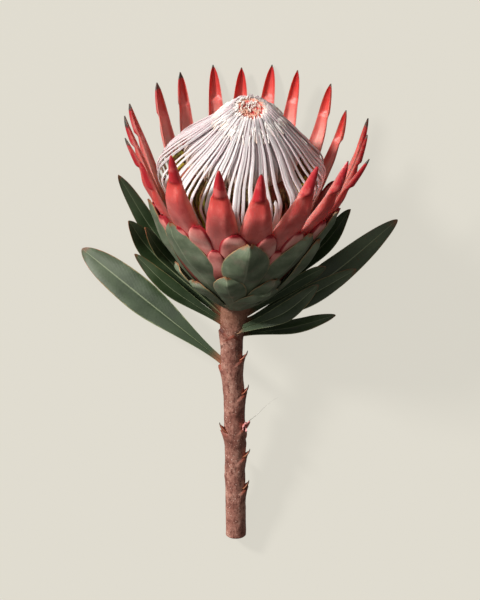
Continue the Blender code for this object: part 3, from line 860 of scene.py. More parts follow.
def pink_scale_look():
    """Pale pink under its bloom, red where one scale lies on the next, and painted brown-red shade low
    down.
    """
    look, shader = new_look("pink scale", 0.5)
    marks, blade_place, grown = marked(shader)
    across, along, _ = split(blade_place)
    rim = sums("MAXIMUM", between(abs(across), 0.76, 0.92), between(along, 0.950, 0.985))
    base = shades(marks["Bloom"], (0.26, (204, 98, 96)), (0.48, (228, 138, 131)), (0.70, (242, 180, 170)))
    base = layered(base,
                   (between(marks["Veins"], 0.50, 0.72) * 0.30, (170, 84, 82)),
                   # Painted shade: brown-red low down, towards the scale's root, among the other bracts.
                   (between(along, 0.74, 0.40), (136, 66, 58)),
                   (between(along, 0.90, 1.0) * 0.6, (206, 84, 86)),
                   (rim, (156, 30, 42)))
    wire(shader.inputs["Base Color"], base)
    add_relief(shader, marks["Veins"] + cloudy(grown, 900.0) * 0.35, 0.25, 0.0004)
    return look


pink = new_shape()
add_collar(pink, PINK_ROW[1], PINK_ROW[0])
pink_draw = random.Random(41)
other_scales = [(azimuth, OTHER_PINK_TIP, OTHER_PINK_HALF_WIDTH, 0.0) for azimuth in OTHER_PINK_AZIMUTHS]
for azimuth, tip, half_width, lift in (*FRONT_PINK_SCALES, *LOWER_PINK_SCALES, *other_scales):
    share = pink_draw.random()
    place = pink_scale_place(math.radians(azimuth), tip, half_width, lift, share)
    add_blade(pink, place, PINK_CELLS, share)
finish_piece("pink_scale_row", pink, [pink_scale_look()], "pink_scales")


# Long bracts: the crown. Each is thick and fleshy, coral outside and orange to deep red inside,
# and ends in a dark red cone, which on the side and back ones has dried grey-black at its point.
LONG_ROW = (0, 0.0240)
LONG_CELLS = (16, 72)
# Each is (azimuth of its tip in degrees, height of the tip, half width, reach, shoulder, dried,
# swerve). reach is how far the tip leans out, shoulder how strongly the body steps out under the
# cone, dried how many millimetres of the point are dry, and swerve how many degrees the bract
# turns from its body to its tip.
LONG_BRACTS = ((-127.5, 0.123, 0.0106, 0.000, 1.0, 0.0, 0), (-103, 0.119, 0.0106, 0.000, 1.0, 0.0, 0),
               (-83, 0.117, 0.0106, 0.000, 1.0, 0.0, 0), (-54.5, 0.1165, 0.0110, 0.000, 0.85, 0.0, 9),
               (-31.5, 0.110, 0.0108, 0.000, 0.5, 0.0, 11), (-19, 0.106, 0.0088, 0.0075, 0.4, 2.5, 4),
               (-10, 0.116, 0.0064, 0.0012, 0.3, 2.5, 0), (2, 0.120, 0.0062, 0.000, 0.2, 5.0, 0),
               (30, 0.111, 0.0068, -0.001, 0.0, 1.2, 0), (45.4, 0.121, 0.0075, 0.000, 0.0, 1.6, 0),
               (65, 0.1236, 0.0070, 0.000, 0.0, 0.8, 0), (78.5, 0.1228, 0.0078, 0.0050, 0.0, 1.6, 0),
               (92.4, 0.1225, 0.0082, 0.000, 0.0, 0.6, 0), (105, 0.1228, 0.0078, 0.0060, 0.0, 2.0, 0),
               (123.4, 0.1245, 0.0072, 0.000, 0.0, 3.8, 0), (138, 0.123, 0.0074, 0.000, 0.0, 4.0, 0),
               (164.4, 0.122, 0.0066, 0.000, 0.0, 3.2, 0), (177, 0.121, 0.0062, 0.000, 0.2, 6.5, 0),
               (190, 0.114, 0.0066, 0.002, 0.3, 4.5, 0), (203, 0.105, 0.0080, 0.000, 0.4, 0.0, 0))
CONE_LENGTH = 0.0180
LONG_CROWDING = 1.45
SWERVE_FROM = 0.060
OUTLINE_EASE = 0.0007
# Outlines: (distance below the tip, share of the full half width)
SHOULDERED_OUTLINE = ((0.0, 0.04), (0.0012, 0.10), (0.005, 0.21), (0.010, 0.31), (0.0165, 0.41),
                      (0.0180, 0.43), (0.0190, 0.53), (0.0240, 0.64), (0.032, 0.81), (0.043, 0.95),
                      (0.055, 1.0), (0.075, 0.92), (0.100, 0.62))
SLENDER_OUTLINE = ((0.0, 0.03), (0.0015, 0.12), (0.004, 0.25), (0.008, 0.37), (0.013, 0.47),
                   (0.020, 0.56), (0.030, 0.67), (0.042, 0.81), (0.055, 0.94), (0.070, 1.0),
                   (0.085, 0.92), (0.100, 0.64))


def outline_share(outline, distance):
    """Straight-run value of an outline, with its corners eased a little."""
    return sum(read_stations(outline, distance + shift * OUTLINE_EASE) for shift in (-1, 0, 1)) / 3.0


def long_bract_place(azimuth, tip, half_width, reach, shoulder, swerve, draw):
    """Place function of a long bract: a thick body, keeled outside, that ends in a cone."""
    layer, root = LONG_ROW

    def place(across, along, depth):
        row = crowded(along, LONG_CROWDING)
        height = root + (tip - root) * row
        below = tip - height
        shell = layer_radius(height, layer)
        stout = outline_share(SHOULDERED_OUTLINE, below)
        slim = outline_share(SLENDER_OUTLINE, below)
        half = half_width * (slim + (stout - slim) * shoulder)
        in_cone = 1.0 - smooth_step(below, CONE_LENGTH - 0.0002, CONE_LENGTH + 0.0014)
        rounded = math.sqrt(max(1.0 - across * across, 0.0))
        broad = math.sqrt(max(1.0 - across ** 4, 0.0))
        # The section: a cone at the point, a thick body with a flat face and a keel below it
        bulge = in_cone * 0.55 * half * rounded
        full = 0.0014 + shoulder * (0.0008 + 0.0016 * smooth_step(height, 0.068, 0.084))
        stepped = 0.0012 * shoulder + full * smooth_step(below, 0.018, 0.032)
        bulge += (1.0 - in_cone) * stepped * broad
        keel = 0.0008 * math.exp(-((across - 0.42) / 0.26) ** 2) * smooth_step(below, 0.016, 0.030)
        rolled = 0.42 * half * across * across * (1.0 - smooth_step(below, 0.020, 0.060))
        rolled *= 1.0 - 0.75 * shoulder * (1.0 - in_cone)
        thickness = 0.0005 + 0.0010 * rounded * smooth_step(below, 0.0, 0.030)
        thickness += in_cone * shoulder * 0.7 * half * rounded
        leaned = reach * max(2.0 * row - 1.0, 0.0) ** 2
        waver = 0.0006 * noise.noise(Vector((row * 3.0, 5.0 * draw, 3.0))) * smooth_step(row, 0.3, 1.0)
        radius = shell - 0.0012 + leaned + bulge + keel - rolled + waver - thickness * depth
        radius -= drawn_in(azimuth, height)
        bend = 0.0010 * noise.noise(Vector((row * 2.2, 9.0 * draw, 1.0))) * math.sin(math.pi * row)
        turned_by = (across * half + bend) / shell
        swerved = min(max((height - SWERVE_FROM) / (tip - SWERVE_FROM), 0.0), 1.0)
        turned_by -= swerve * (1.0 - swerved)
        return around(radius, azimuth + turned_by, height), (across, 1000.0 * below, depth)
    return place


def waxy(shader, weight, reach, scale):
    """Lets light into a material, as it enters fleshy parts of a plant."""
    shader.inputs["Subsurface Weight"].default_value = weight
    shader.inputs["Subsurface Radius"].default_value = reach
    shader.inputs["Subsurface Scale"].default_value = scale


def long_bract_look():
    """Coral outside and pale to orange-red inside, red at the cone, grey-black where dried. Painted
    red shade darkens the inner face's margins.

    below is in millimetres under the tip, and down the same in tenths of a metre.
    """
    look, shader = new_look("long bract", 0.42)
    blade_place = reading(shader, "blade")
    grown = reading(shader, "grown")
    dried = reading(shader, "draw", "Fac")
    across, below, inner = split(blade_place)
    beside = abs(across)
    mottle = cloudy(grown, 120.0, 5.0, 0.6)
    uneven = mottle - 0.5
    strands = cloudy(stretched(blade_place, (3.2, 0.022, 0.0)), 5.0, 4.0, 0.65)
    down = below / 100.0 + uneven * 0.05
    body = shades(down, (0.02, (178, 36, 48)), (0.165, (196, 48, 58)), (0.180, (170, 36, 42)),
                  (0.197, (204, 72, 66)), (0.27, (208, 88, 84)), (0.40, (210, 107, 103)),
                  (0.54, (210, 120, 116)), (0.74, (180, 94, 90)))
    body = layered(body,
                   (between(strands, 0.52, 0.70) * 0.30, (184, 62, 58)),
                   (between(mottle, 0.50, 0.66) * 0.42, (236, 140, 132)),
                   (between(mottle, 0.46, 0.34) * 0.30, (170, 46, 50)))
    inside = shades(down, (0.03, (196, 44, 46)), (0.12, (220, 76, 70)), (0.24, (238, 136, 128)),
                    (0.38, (244, 168, 158)), (0.56, (244, 180, 156)), (0.80, (232, 186, 142)))
    # Painted shade: the inner face reddens towards its margins, as the hollow face turns from the light.
    painted_edge_shade = between(beside, 0.35, 0.85) * between(down, 0.70, 0.30)
    inside = layered(inside,
                     (between(strands, 0.50, 0.70) * 0.25, (190, 50, 46)),
                     (painted_edge_shade * 0.6, (192, 46, 44)))
    pale = between(beside, 0.84, 0.97) * between(below, 3.0, 14.0)
    dry = between(below + uneven * 4.0 - dried, 0.7, -0.7)
    base = layered(body,
                   (inner, inside),
                   (pale * 0.30, (232, 168, 156)),
                   (dry, shades(mottle, (0.35, (44, 42, 42)), (0.65, (104, 104, 98)))))
    wire(shader.inputs["Base Color"], base)
    add_relief(shader, strands + cloudy(grown, 800.0) * 0.3, 0.30, 0.0005)
    waxy(shader, 0.45, (1.0, 0.30, 0.22), 0.0035)
    return look


crown = new_shape()
add_collar(crown, LONG_ROW[1], LONG_ROW[0])
crown_draw = random.Random(51)
for azimuth, tip, half_width, reach, shoulder, dried, swerve in LONG_BRACTS:
    share = crown_draw.random()
    place = long_bract_place(math.radians(azimuth), tip, half_width, reach, shoulder,
                             math.radians(swerve), share)
    add_blade(crown, place, LONG_CELLS, dried)
finish_piece("long_bract_crown", crown, [long_bract_look()], "long_bracts")


# The florets inside the crown: packed woolly florets, olive, brown and maroon, of which narrow
# strips show between the styles.
DOME_NOD = Vector((-0.03, 0.125))
PEAK_FORWARD = 0.0020
DOME_DRIFT = ((0.065, 0.0), (0.085, -0.0020), (0.100, -0.0016), (0.112, 0.0010), (0.128, 0.0022))
FLORET_CORE_ROWS = ((0.0000, 0.0406), (0.0200, 0.0398), (0.0290, 0.0395), (0.0310, 0.0480),
                    (0.0340, 0.0600), (0.0368, 0.0710), (0.0386, 0.0800), (0.0382, 0.0862),
                    (0.0346, 0.0925), (0.0286, 0.0994), (0.0215, 0.1064), (0.0145, 0.1126),
                    (0.0070, 0.1172), (0.0000, 0.1185))
FLORET_CORE_SEGMENTS = 160
CORE_TONE = 0.10
# How far strips on the left are pushed to brighter, yellower tones: painted light on the lit side.
LEFT_PAINTED_LIGHT = 0.35
CORE_RIDGES = 40
FLORET_STRIPS = 104
FLORET_SIDES = 6
FLORET_STRETCHES = 14
FLORET_PATH = ((0.0300, 0.0420), (0.0332, 0.0500), (0.0366, 0.0620), (0.0400, 0.0745),
               (0.0416, 0.0832), (0.0396, 0.0904), (0.0330, 0.0980))


def dome_point(radius, azimuth, height):
    """Point of the dome, which nods towards the side that shows and grows a little askew."""
    nod = DOME_NOD.x * math.cos(azimuth) + DOME_NOD.y * math.sin(azimuth)
    point = around(radius, azimuth, height + nod * radius * smooth_step(height, 0.055, 0.100))
    point.x += read_stations(DOME_DRIFT, height)
    point.y -= PEAK_FORWARD * smooth_step(height, 0.095, 0.126)
    return point


def rod_point(here, ahead, out, side, azimuth, rise=0.0):
    """Point of a rod on the dome: out from its path, and to one side of its azimuth."""
    outward = Vector((ahead.y, -ahead.x)).normalized()
    around_rim = Vector((-math.sin(azimuth), math.cos(azimuth), 0.0))
    point = dome_point(here.x + outward.x * out, azimuth, here.y + outward.y * out + rise)
    return point + around_rim * side


def floret_place(azimuth, top, lift, half_width):
    """Place function of one floret's strip, from the receptacle to its own top."""
    points = [Vector((radius, height, 0.0)) for radius, height in FLORET_PATH]

    def place(turn, share):
        here = path_point(points, share * top)
        ahead = path_point(points, min(share * top + 0.01, 1.0)) - here
        slim = (1.0 - share ** 6) * (0.7 + 0.3 * math.sin(math.pi * share))
        out = lift + 0.0011 * math.sin(turn)
        side = half_width * slim * math.cos(turn)
        swing = azimuth + 0.010 * math.sin(7.0 * share + 20.0 * lift / 0.001)
        return rod_point(here, ahead, out, side, swing), (math.cos(turn), share, 0.0)
    return place


def floret_look():
    """Woolly florets: every strip has its own tone between yellow-green, olive, brown and maroon."""
    look, shader = new_look("floret", 0.7)
    grown = reading(shader, "grown")
    tone = reading(shader, "draw", "Fac")
    _, share, _ = split(reading(shader, "blade"))
    fuzz = cloudy(stretched(grown, (1.0, 1.0, 0.3)), 900.0, 3.0, 0.7)
    pick = tone * 0.55 + cloudy(grown, 60.0, 2.0) * 0.5
    base = shades(pick, (0.18, (58, 36, 22)), (0.30, (84, 66, 30)), (0.40, (150, 52, 44)),
                  (0.50, (104, 98, 42)), (0.62, (186, 182, 58)), (0.74, (230, 226, 84)),
                  (0.88, (206, 112, 58)))
    base = layered(base,
                   (between(fuzz, 0.50, 0.75) * 0.6, (196, 176, 104)),
                   (between(share, 0.35, 0.0) * 0.7, (206, 150, 96)),
                   (between(fuzz, 0.45, 0.30), (52, 26, 18)))
    wire(shader.inputs["Base Color"], base)
    add_relief(shader, fuzz, 0.7, 0.0008)
    return look


florets = new_shape()
spin_rows(florets, FLORET_CORE_ROWS, FLORET_CORE_SEGMENTS)
floret_draw = random.Random(61)
floret_blade_layer = florets.verts.layers.float_vector["blade"]
floret_draw_layer = florets.verts.layers.float["draw"]
for corner in florets.verts:
    corner[floret_blade_layer] = Vector((0.0, smooth_step(corner.co.z, 0.040, 0.075), 0.0))
    corner[floret_draw_layer] = CORE_TONE
    radius, azimuth = polar(corner)
    ridge = 0.0006 * math.cos(CORE_RIDGES * azimuth) * smooth_step(radius, 0.010, 0.030)
    corner.co = dome_point(radius + ridge, azimuth, corner.co.z)
face_out(florets, florets.faces[:])
for number in range(FLORET_STRIPS):
    azimuth = math.tau * (number + floret_draw.uniform(-0.3, 0.3)) / FLORET_STRIPS
    top = floret_draw.uniform(0.70, 1.0)
    lift = floret_draw.uniform(-0.0004, 0.0014)
    half_width = floret_draw.uniform(0.0009, 0.0014)
    # Painted light: strips on the left take brighter, yellower tones.
    tone = floret_draw.random() + LEFT_PAINTED_LIGHT * max(-math.cos(azimuth), 0.0)
    place = floret_place(azimuth, top, lift, half_width)
    add_rod(florets, place, FLORET_SIDES, FLORET_STRETCHES, min(tone, 1.0))
finish_piece("floret_core", florets, [floret_look()], "styles")


# The styles: stiff white rods, flat with a fine crease, that spring from the receptacle, bulge
# and close in at the peak. Shorter ones of the inner florets fill the gaps between them above.
ROD_HALF_THICKNESS = 0.00060
ROD_SIDES = 8
ROD_PATH = ((0.0300, 0.0410), (0.0348, 0.0490), (0.0388, 0.0590), (0.0425, 0.0690),
            (0.0460, 0.0768), (0.0488, 0.0838), (0.0496, 0.0890), (0.0477, 0.0936),
            (0.0434, 0.0980), (0.0380, 0.1034), (0.0321, 0.1090), (0.0260, 0.1145),
            (0.0202, 0.1193), (0.0148, 0.1234), (0.0100, 0.1270))
INNER_ROD_PATH = ((0.0326, 0.0930), (0.0345, 0.1000), (0.0322, 0.1058), (0.0278, 0.1100),
                  (0.0232, 0.1143), (0.0182, 0.1184), (0.0134, 0.1222), (0.0094, 0.1254))
# Sets of rods from the outside in: (number, path, half width, drop below the dome, stretches)
ROD_SETS = ((78, ROD_PATH, 0.00122, 0.0, 34), (132, INNER_ROD_PATH, 0.00076, 0.0003, 16),
            (126, INNER_ROD_PATH, 0.00086, 0.0012, 14))
PEAK_TILT = 0.0038


def towards_back(azimuth):
    """0 on the side that shows and 1 at the back."""
    return 0.5 + 0.5 * math.sin(azimuth)


def rod_place(path, azimuth, half_width, drop, stray, bulge, lean, height_change):
    """Place function of one style. stray swings it sideways along its length."""
    points = [Vector((radius, height, 0.0)) for radius, height in path]

    def place(turn, share):
        slim = 0.70 + 0.30 * smooth_step(share, 0.0, 0.2) - 0.48 * smooth_step(share, 0.52, 0.90)
        tip = 1.0 + 0.35 * smooth_step(share, 0.90, 0.96) - 1.1 * smooth_step(share, 0.96, 1.0)
        side = half_width * slim * tip * math.cos(turn)
        crease = 0.45 * max(math.sin(turn), 0.0) ** 6
        out = ROD_HALF_THICKNESS * tip * (math.sin(turn) - crease) - drop
        out += bulge * math.sin(math.pi * share)
        swing = azimuth + stray * math.sin(2.6 * share + lean) - stray * math.sin(lean)
        rise = (PEAK_TILT * towards_back(azimuth) + height_change) * smooth_step(share, 0.75, 1.0)
        point = rod_point(path_point(points, share), path_run(points, share, 0.01), out, side, swing,
                          rise)
        return point, (math.cos(turn), share, 0.0)
    return place


def style_look():
    """Silky white with pink edges; painted shade tints the creases lilac and deepens the pink between
    rods.
    """
    look, shader = new_look("style", 0.38)
    blade_place = reading(shader, "blade")
    across, share, _ = split(blade_place)
    beside = abs(across)
    fine = cloudy(stretched(blade_place, (4.0, 9.0, 1.0)), 1.0)
    base = shades(reading(shader, "draw", "Fac") * 0.5 + fine * 0.5,
                  (0.2, (220, 206, 210)), (0.5, (234, 224, 227)), (0.8, (244, 238, 239)))
    # Pink at the edges: partly the rods' own tint, partly painted shade between the rods. Lilac at the
    # middle of each face: painted shade in the crease.
    base = layered(base,
                   (between(beside, 0.70, 1.0) * 0.60, (208, 140, 154)),
                   (between(beside, 0.12, 0.0) * 0.35, (206, 184, 192)),
                   (between(share, 0.34, 0.10) * 0.6, (226, 196, 158)))
    wire(shader.inputs["Base Color"], base)
    add_relief(shader, fine, 0.15, 0.0003)
    waxy(shader, 0.60, (1.0, 0.85, 0.85), 0.0050)
    return look


styles = new_shape()
rod_draw = random.Random(71)
for count, path, half_width, drop, stretches in ROD_SETS:
    for number in range(count):
        azimuth = math.tau * (number + rod_draw.uniform(-0.28, 0.28)) / count
        width = half_width * rod_draw.uniform(0.70, 1.22)
        stray = rod_draw.uniform(-0.060, 0.060)
        bulge = rod_draw.uniform(-0.0016, 0.0004)
        lean = rod_draw.uniform(-0.6, 0.6)
        height_change = rod_draw.uniform(-0.0010, 0.0014)
        place = rod_place(path, azimuth, width, drop, stray, bulge, lean, height_change)
        add_rod(styles, place, ROD_SIDES, stretches, rod_draw.random())
# One style in front has broken off square at the shoulder of the dome
BROKEN_AZIMUTH = math.radians(-66)
BROKEN_HALF_WIDTH = 0.0017
BROKEN_PATH = ROD_PATH[:8]
BROKEN_DROP = -0.0010
BROKEN_STRETCHES = 20
broken = rod_place(BROKEN_PATH, BROKEN_AZIMUTH, BROKEN_HALF_WIDTH, BROKEN_DROP, stray=0.01,
                   bulge=0.0004, lean=0.2, height_change=0.0)
add_rod(styles, broken, ROD_SIDES, BROKEN_STRETCHES, draw=0.9)
finish_piece("style_rods", styles, [style_look()], "styles")


# The peak: the tips of the styles stand round a shallow crater like a frill, and inside it short
# tufts run from cream down to a red-pink floor.
FRILL_TUFTS = 620
CRATER_TUFTS = 170
CRATER_RADIUS = 0.0086
CRATER_FLOOR = 0.1246
CRATER_RIM = 0.1262
TUFT_SIDES = 6
TUFT_STRETCHES = 5
CRATER_TUFT_THICKNESS = 0.00036
CRATER_SEGMENTS = 64
CRATER_ROWS = ((0.0, CRATER_FLOOR - 0.004), (0.0100, CRATER_FLOOR - 0.003),
               (0.0092, CRATER_RIM - 0.0004), (0.0084, CRATER_RIM), (0.0070, CRATER_RIM - 0.0007),
               (0.0045, CRATER_FLOOR + 0.0003), (0.0, CRATER_FLOOR))


def tuft_place(foot, tip, curl, thickness):
    """Place function of a blunt tuft from foot to tip, bowed by curl."""
    ahead = (tip - foot).normalized()

    def place(turn, share):
        here = foot.lerp(tip, share) + curl * math.sin(math.pi * share * 0.5)
        full = thickness * (0.7 + 0.5 * share) * (1.0 - 0.9 * smooth_step(share, 0.78, 1.0))
        return round_section(here, ahead, turn, full), (0.0, share, 0.0)
    return place


def peak_look():
    """Cream tufts that turn red-pink towards the crater's floor."""
    look, shader = new_look("peak", 0.5)
    _, share, _ = split(reading(shader, "blade"))
    fine = cloudy(reading(shader, "grown"), 700.0)
    tone = share * 0.45 + reading(shader, "draw", "Fac") + fine * 0.2
    wire(shader.inputs["Base Color"],
         shades(tone, (0.12, (178, 44, 50)), (0.40, (214, 86, 82)), (0.60, (230, 176, 150)),
                (0.80, (238, 222, 208)), (1.0, (244, 238, 235))))
    add_relief(shader, fine, 0.3, 0.0004)
    return look


peak = new_shape()
peak_draw = random.Random(81)
spin_rows(peak, CRATER_ROWS, CRATER_SEGMENTS)
peak_draw_layer = peak.verts.layers.float["draw"]
for corner in peak.verts:
    radius, azimuth = polar(corner)
    rise = PEAK_TILT * towards_back(azimuth) * radius / CRATER_RADIUS
    corner[peak_draw_layer] = 0.5 * smooth_step(corner.co.z, CRATER_FLOOR, CRATER_RIM)
    corner.co = dome_point(radius, azimuth, corner.co.z + rise)
face_out(peak, peak.faces[:])
for number in range(FRILL_TUFTS):
    azimuth = math.tau * (number + peak_draw.uniform(-0.5, 0.5)) / FRILL_TUFTS
    back = towards_back(azimuth)
    out = 0.0105 * peak_draw.random() ** 1.4
    radius = CRATER_RADIUS + out
    top = CRATER_RIM + PEAK_TILT * back - 0.62 * out + peak_draw.uniform(-0.0004, 0.0012)
    foot = dome_point(radius + 0.0036, azimuth, top - 0.0036)
    tip = dome_point(radius - peak_draw.uniform(0.0002, 0.0022), azimuth + peak_draw.uniform(-0.15, 0.15),
                     top + peak_draw.uniform(-0.0002, 0.0006))
    curl = Vector((0.0, 0.0, peak_draw.uniform(0.0002, 0.0012)))
    place = tuft_place(foot, tip, curl, peak_draw.uniform(0.00030, 0.00058))
    add_rod(peak, place, TUFT_SIDES, TUFT_STRETCHES, peak_draw.uniform(0.62, 0.85))
for number in range(CRATER_TUFTS):
    azimuth = peak_draw.uniform(-math.pi, math.pi)
    share = math.sqrt(peak_draw.random())
    radius = 0.0070 * share
    back = towards_back(azimuth)
    floor_height = CRATER_FLOOR + 0.0012 * share ** 3 + PEAK_TILT * back * share
    foot = dome_point(radius, azimuth, floor_height - 0.0006)
    tip = dome_point(radius * 0.86, azimuth + peak_draw.uniform(-0.2, 0.2),
                     floor_height + peak_draw.uniform(0.0010, 0.0022))
    curl = Vector((peak_draw.uniform(-0.0003, 0.0003), peak_draw.uniform(-0.0003, 0.0003), 0.0))
    tone = 0.20 * share ** 2 + 0.46 * back ** 1.5 + peak_draw.uniform(-0.08, 0.06)
    place = tuft_place(foot, tip, curl, CRATER_TUFT_THICKNESS)
    add_rod(peak, place, TUFT_SIDES, TUFT_STRETCHES, tone)
finish_piece("peak_tuft", peak, [peak_look()], "styles")


# The leaves: thick and leathery, dark green with a satin face, a pale midrib and a thin red-brown
# margin. Each grows from the stem on a short reddish stalk.
LEAF_CELLS = (22, 70)
LEAF_THICKNESS = 0.00075
LEAF_ROOT_HALF_WIDTH = 0.0020
LEAF_ROOT_SINK = 0.0012
LEAF_CROWDING = 1.5
LEAVES = (
    # name, root height, root azimuth, middle, tip, half width, facing, fold, point
    ("leaf_left_large", -0.0394, 178, (-0.0528, 0.0220, -0.0114), (-0.0948, 0.0478, 0.0134),
     0.0104, (0.05, -0.90, 0.45), 0.10, 3.4),
    ("leaf_left_narrow", -0.0118, 202, (-0.0396, -0.0025, 0.0105), (-0.0618, 0.0020, 0.0317),
     0.0056, (0.30, -0.80, 0.50), 0.25, 1.7),
    ("leaf_left_folded", -0.0095, 163, (-0.0498, 0.0150, 0.0247), (-0.0654, 0.0120, 0.0488),
     0.0075, (0.55, -0.80, 0.20), 0.30, 1.7),
    ("leaf_left_upper", -0.0065, 125, (-0.0468, 0.0270, 0.0289), (-0.0714, 0.0180, 0.0760),
     0.0062, (-0.30, -0.85, 0.35), 0.15, 2.2),
    ("leaf_left_dark", -0.0060, 178, (-0.0438, 0.0080, 0.0275), (-0.0552, -0.0020, 0.0510),
     0.0055, (0.80, -0.50, 0.20), 0.20, 1.8),
    ("leaf_right_large", -0.0165, 28, (0.0510, 0.0280, 0.0010), (0.0969, 0.0525, 0.0307),
     0.0095, (-0.05, -0.85, 0.50), 0.10, 1.9),
    ("leaf_right_second", -0.0135, 6, (0.0390, 0.0120, -0.0032), (0.0714, 0.0220, 0.0120),
     0.0065, (-0.10, -0.85, 0.50), 0.15, 2.0),
    ("leaf_front_right", -0.0160, -75, (0.0270, -0.0120, -0.0010), (0.0480, -0.0100, 0.0169),
     0.0060, (0.0, -0.80, 0.60), 0.12, 1.8),
    ("leaf_right_low", -0.0205, 0, (0.0330, 0.0040, -0.0180), (0.0588, 0.0080, -0.0119),
     0.0062, (0.0, -0.35, 0.95), 0.20, 1.6),
    ("leaf_right_dark", -0.0075, 2, (0.0365, 0.0040, 0.0127), (0.0528, 0.0080, 0.0201),
     0.0050, (0.45, -0.80, -0.05), 0.20, 2.2),
    ("leaf_right_upper", -0.0100, 52, (0.0480, 0.0200, 0.0256), (0.0668, 0.0050, 0.0596),
     0.0060, (-0.60, -0.75, 0.25), 0.15, 2.2),
    ("leaf_back_right", -0.0045, 76, (0.0240, 0.0360, 0.0140), (0.0320, 0.0500, 0.0480),
     0.0095, (-0.50, -0.80, 0.50), 0.10, 2.0),
    ("leaf_back_middle", -0.0190, 92, (0.0000, 0.0360, 0.0060), (-0.0020, 0.0545, 0.0460),
     0.0100, (0.0, -0.85, 0.50), 0.10, 2.0),
    ("leaf_back_left", -0.0150, 125, (-0.0300, 0.0380, 0.0140), (-0.0400, 0.0460, 0.0440),
     0.0090, (0.50, -0.80, 0.50), 0.10, 2.0),
)


def leaf_place(root, middle, tip, half_width, facing, fold, point, draw):
    """Place function of a leaf along the smooth curve through its root, middle and tip.

    point is low for a leaf that narrows early to an acute tip and high for a blunt one.
    """
    points = [root, Vector(middle), Vector(tip)]

    def place(across, row, depth):
        along = crowded(row, LEAF_CROWDING)
        here = path_point(points, along)
        ahead = path_run(points, along, 0.02).normalized()
        side = ahead.cross(Vector(facing)).normalized()
        up = side.cross(ahead).normalized()
        stalk = 1.0 - smooth_step(along, 0.0, 0.60)
        rest = max((along - 0.45) / 0.55, 0.0)
        swell = (1.0 - stalk) * max(1.0 - rest ** point, 0.0) ** 0.62
        half = half_width * max(swell, 0.012) + LEAF_ROOT_HALF_WIDTH * stalk
        half *= 1.0 + 0.03 * noise.noise(Vector((along * 5.0, across * 0.5, 13.0 * draw)))
        open_part = smooth_step(along, 0.25, 0.55) * (1.0 - smooth_step(along, 0.93, 1.0))
        folded = fold * half * (math.sqrt(across * across + 0.02) - 0.14)
        curled = -0.10 * half * abs(across) ** 3 * open_part
        wave = 0.0007 * abs(across) * noise.noise(Vector((along * 4.0, across, 21.0 * draw))) * open_part
        groove = math.exp(-(across / 0.07) ** 2) * (1.0 - along) * 0.00045
        thickness = LEAF_THICKNESS * (1.0 - 0.45 * across ** 4) + 0.0010 * stalk * (1.0 - across * across)
        inner = thickness + 2.0 * groove
        lift = folded + curled + wave - (inner if depth else groove)
        return here + side * across * half + up * lift, (across, along, depth)
    return place


def leaf_look():
    """Dark green, faint bloom, slanting side veins, pale midrib, browned margin, painted sheen near the
    tip.
    """
    look, shader = new_look("leaf", 0.36)
    marks, blade_place, grown = marked(shader)
    across, along, under = split(blade_place)
    slant = along * 26.0 - abs(across) * 5.0
    ribs = abs(sums("FRACT", slant) - 0.5)
    rim = shades(along, (0.5, (128, 136, 98)), (0.80, (140, 112, 70)), (0.95, (156, 76, 44)))
    base = shades(marks["Bloom"], (0.28, (35, 49, 28)), (0.50, (49, 66, 39)), (0.72, (65, 82, 54)))
    # The paler green towards the tip is a painted sheen; the leaf is also darker towards its stalk.
    base = layered(base,
                   (between(along, 0.62, 0.88) * 0.30, (108, 120, 98)),
                   (between(ribs, 0.12, 0.0) * 0.05, (104, 124, 84)),
                   (between(along, 0.80, 0.45) * 0.45, (44, 58, 38)),
                   (marks["Middle"] * 0.55, (146, 156, 124)),
                   (under, shades(marks["Bloom"], (0.3, (96, 112, 84)), (0.7, (136, 148, 120)))),
                   (between(along, 0.10, 0.0), (134, 84, 60)),
                   (marks["Margin"] * 0.8, rim),
                   (marks["Tip"] * 0.7, (120, 70, 42)))
    wire(shader.inputs["Base Color"], base)
    wire(shader.inputs["Roughness"],
         marks["Bloom"] * 0.30 + 0.26 + between(along, 0.50, 0.20) * 0.35)
    add_relief(shader, between(ribs, 0.16, 0.0) * -0.2 + cloudy(grown, 700.0) * 0.5, 0.22, 0.0004)
    return look


LEAF_LOOK = leaf_look()
leaf_draw = random.Random(91)
for name, height, azimuth, middle, tip, half_width, facing, fold, point in LEAVES:
    leaf = new_shape()
    direction = math.radians(azimuth)
    root = around(read_stations(STEM_RADII, height) - LEAF_ROOT_SINK, direction, height)
    share = leaf_draw.random()
    place = leaf_place(root, middle, tip, half_width, facing, fold, point, share)
    add_blade(leaf, place, LEAF_CELLS, share)
    finish_piece(name + "_blade", leaf, [LEAF_LOOK], name)


# The stage: a plain pale table, one soft key light from the upper left, and a sky that is
# brighter on that side than on the other. Most of the table's light is its own glow, so that
# shadows on it stay faint.
FLOOR_SIDE = 12.0
FLOOR_TINT = colour(221, 217, 205)
FLOOR_PIGMENT = colour(78, 77, 73)
FLOOR_GLOW = 0.90
KEY_STRENGTH = 4.25
KEY_SPREAD = math.radians(9)
KEY_FROM = Vector((-0.66, -0.38, 0.65))
FILL_STRENGTH = 0.25
FILL_SLOPE = 0.20
FILL_FROM = Vector((-0.55, -0.10, 0.83))
KEY_TINT = (1.0, 0.97, 0.93)
SKY_TINT = (1.0, 0.96, 0.88, 1.0)

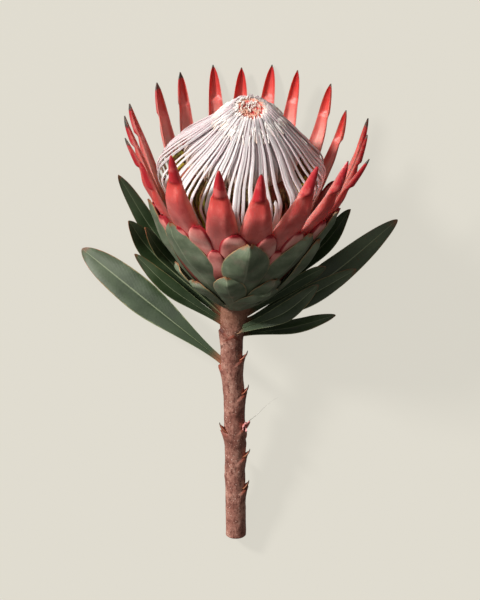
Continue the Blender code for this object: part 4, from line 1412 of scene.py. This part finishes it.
floor_shape = bmesh.new()
bmesh.ops.create_grid(floor_shape, x_segments=1, y_segments=1, size=FLOOR_SIDE / 2)
floor_mesh = bpy.data.meshes.new("table")
floor_shape.to_mesh(floor_mesh)
floor_shape.free()
floor_look, floor_shader = new_look("pale table", 0.9)
paper = floor_look.node_tree.nodes.new("ShaderNodeTexNoise")
paper.inputs["Scale"].default_value = 300.0
wire(floor_shader.inputs["Base Color"],
     layered(FLOOR_PIGMENT, (Flow(paper.outputs["Fac"]) * 0.2, (72, 71, 66))))
floor_shader.inputs["Emission Color"].default_value = FLOOR_TINT
floor_shader.inputs["Emission Strength"].default_value = FLOOR_GLOW
floor_mesh.materials.append(floor_look)
table = bpy.data.objects.new("table", floor_mesh)
scene.collection.objects.link(table)
table.visible_diffuse = False
table.visible_glossy = False

key_data = bpy.data.lights.new("key", "SUN")
key_data.energy = KEY_STRENGTH
key_data.angle = KEY_SPREAD
key_data.color = KEY_TINT
key = bpy.data.objects.new("key", key_data)
key.matrix_world = LYING @ KEY_FROM.to_track_quat("Z", "Y").to_matrix().to_4x4()
scene.collection.objects.link(key)

scene.world = bpy.data.worlds.new("studio")
scene.world.use_nodes = True
sky = scene.world.node_tree.nodes["Background"]
sky.inputs["Color"].default_value = SKY_TINT
skyward = scene.world.node_tree.nodes.new("ShaderNodeTexCoord").outputs["Generated"]
towards = scene.world.node_tree.nodes.new("ShaderNodeVectorMath")
towards.operation = "DOT_PRODUCT"
wire(towards.inputs[0], Flow(skyward))
wire(towards.inputs[1], LYING.to_3x3() @ FILL_FROM)
wire(sky.inputs["Strength"], Flow(towards.outputs["Value"]) * FILL_SLOPE + FILL_STRENGTH)

# The camera looks down on the lying flower from the side that the photograph shows.
CAMERA_DISTANCE = 3.0
CAMERA_RISE = math.radians(26)
CAMERA_TARGET = Vector((0.0012, 0.0, 0.0020))
CAMERA_LENS = 300

camera_data = bpy.data.cameras.new("camera")
camera_data.lens = CAMERA_LENS
camera_data.sensor_width = 36
camera = bpy.data.objects.new("camera", camera_data)
to_camera = Vector((0.0, -math.cos(CAMERA_RISE), math.sin(CAMERA_RISE)))
camera.matrix_world = (LYING @ Matrix.Translation(CAMERA_TARGET + CAMERA_DISTANCE * to_camera)
                       @ to_camera.to_track_quat("Z", "Y").to_matrix().to_4x4())
scene.collection.objects.link(camera)
scene.camera = camera
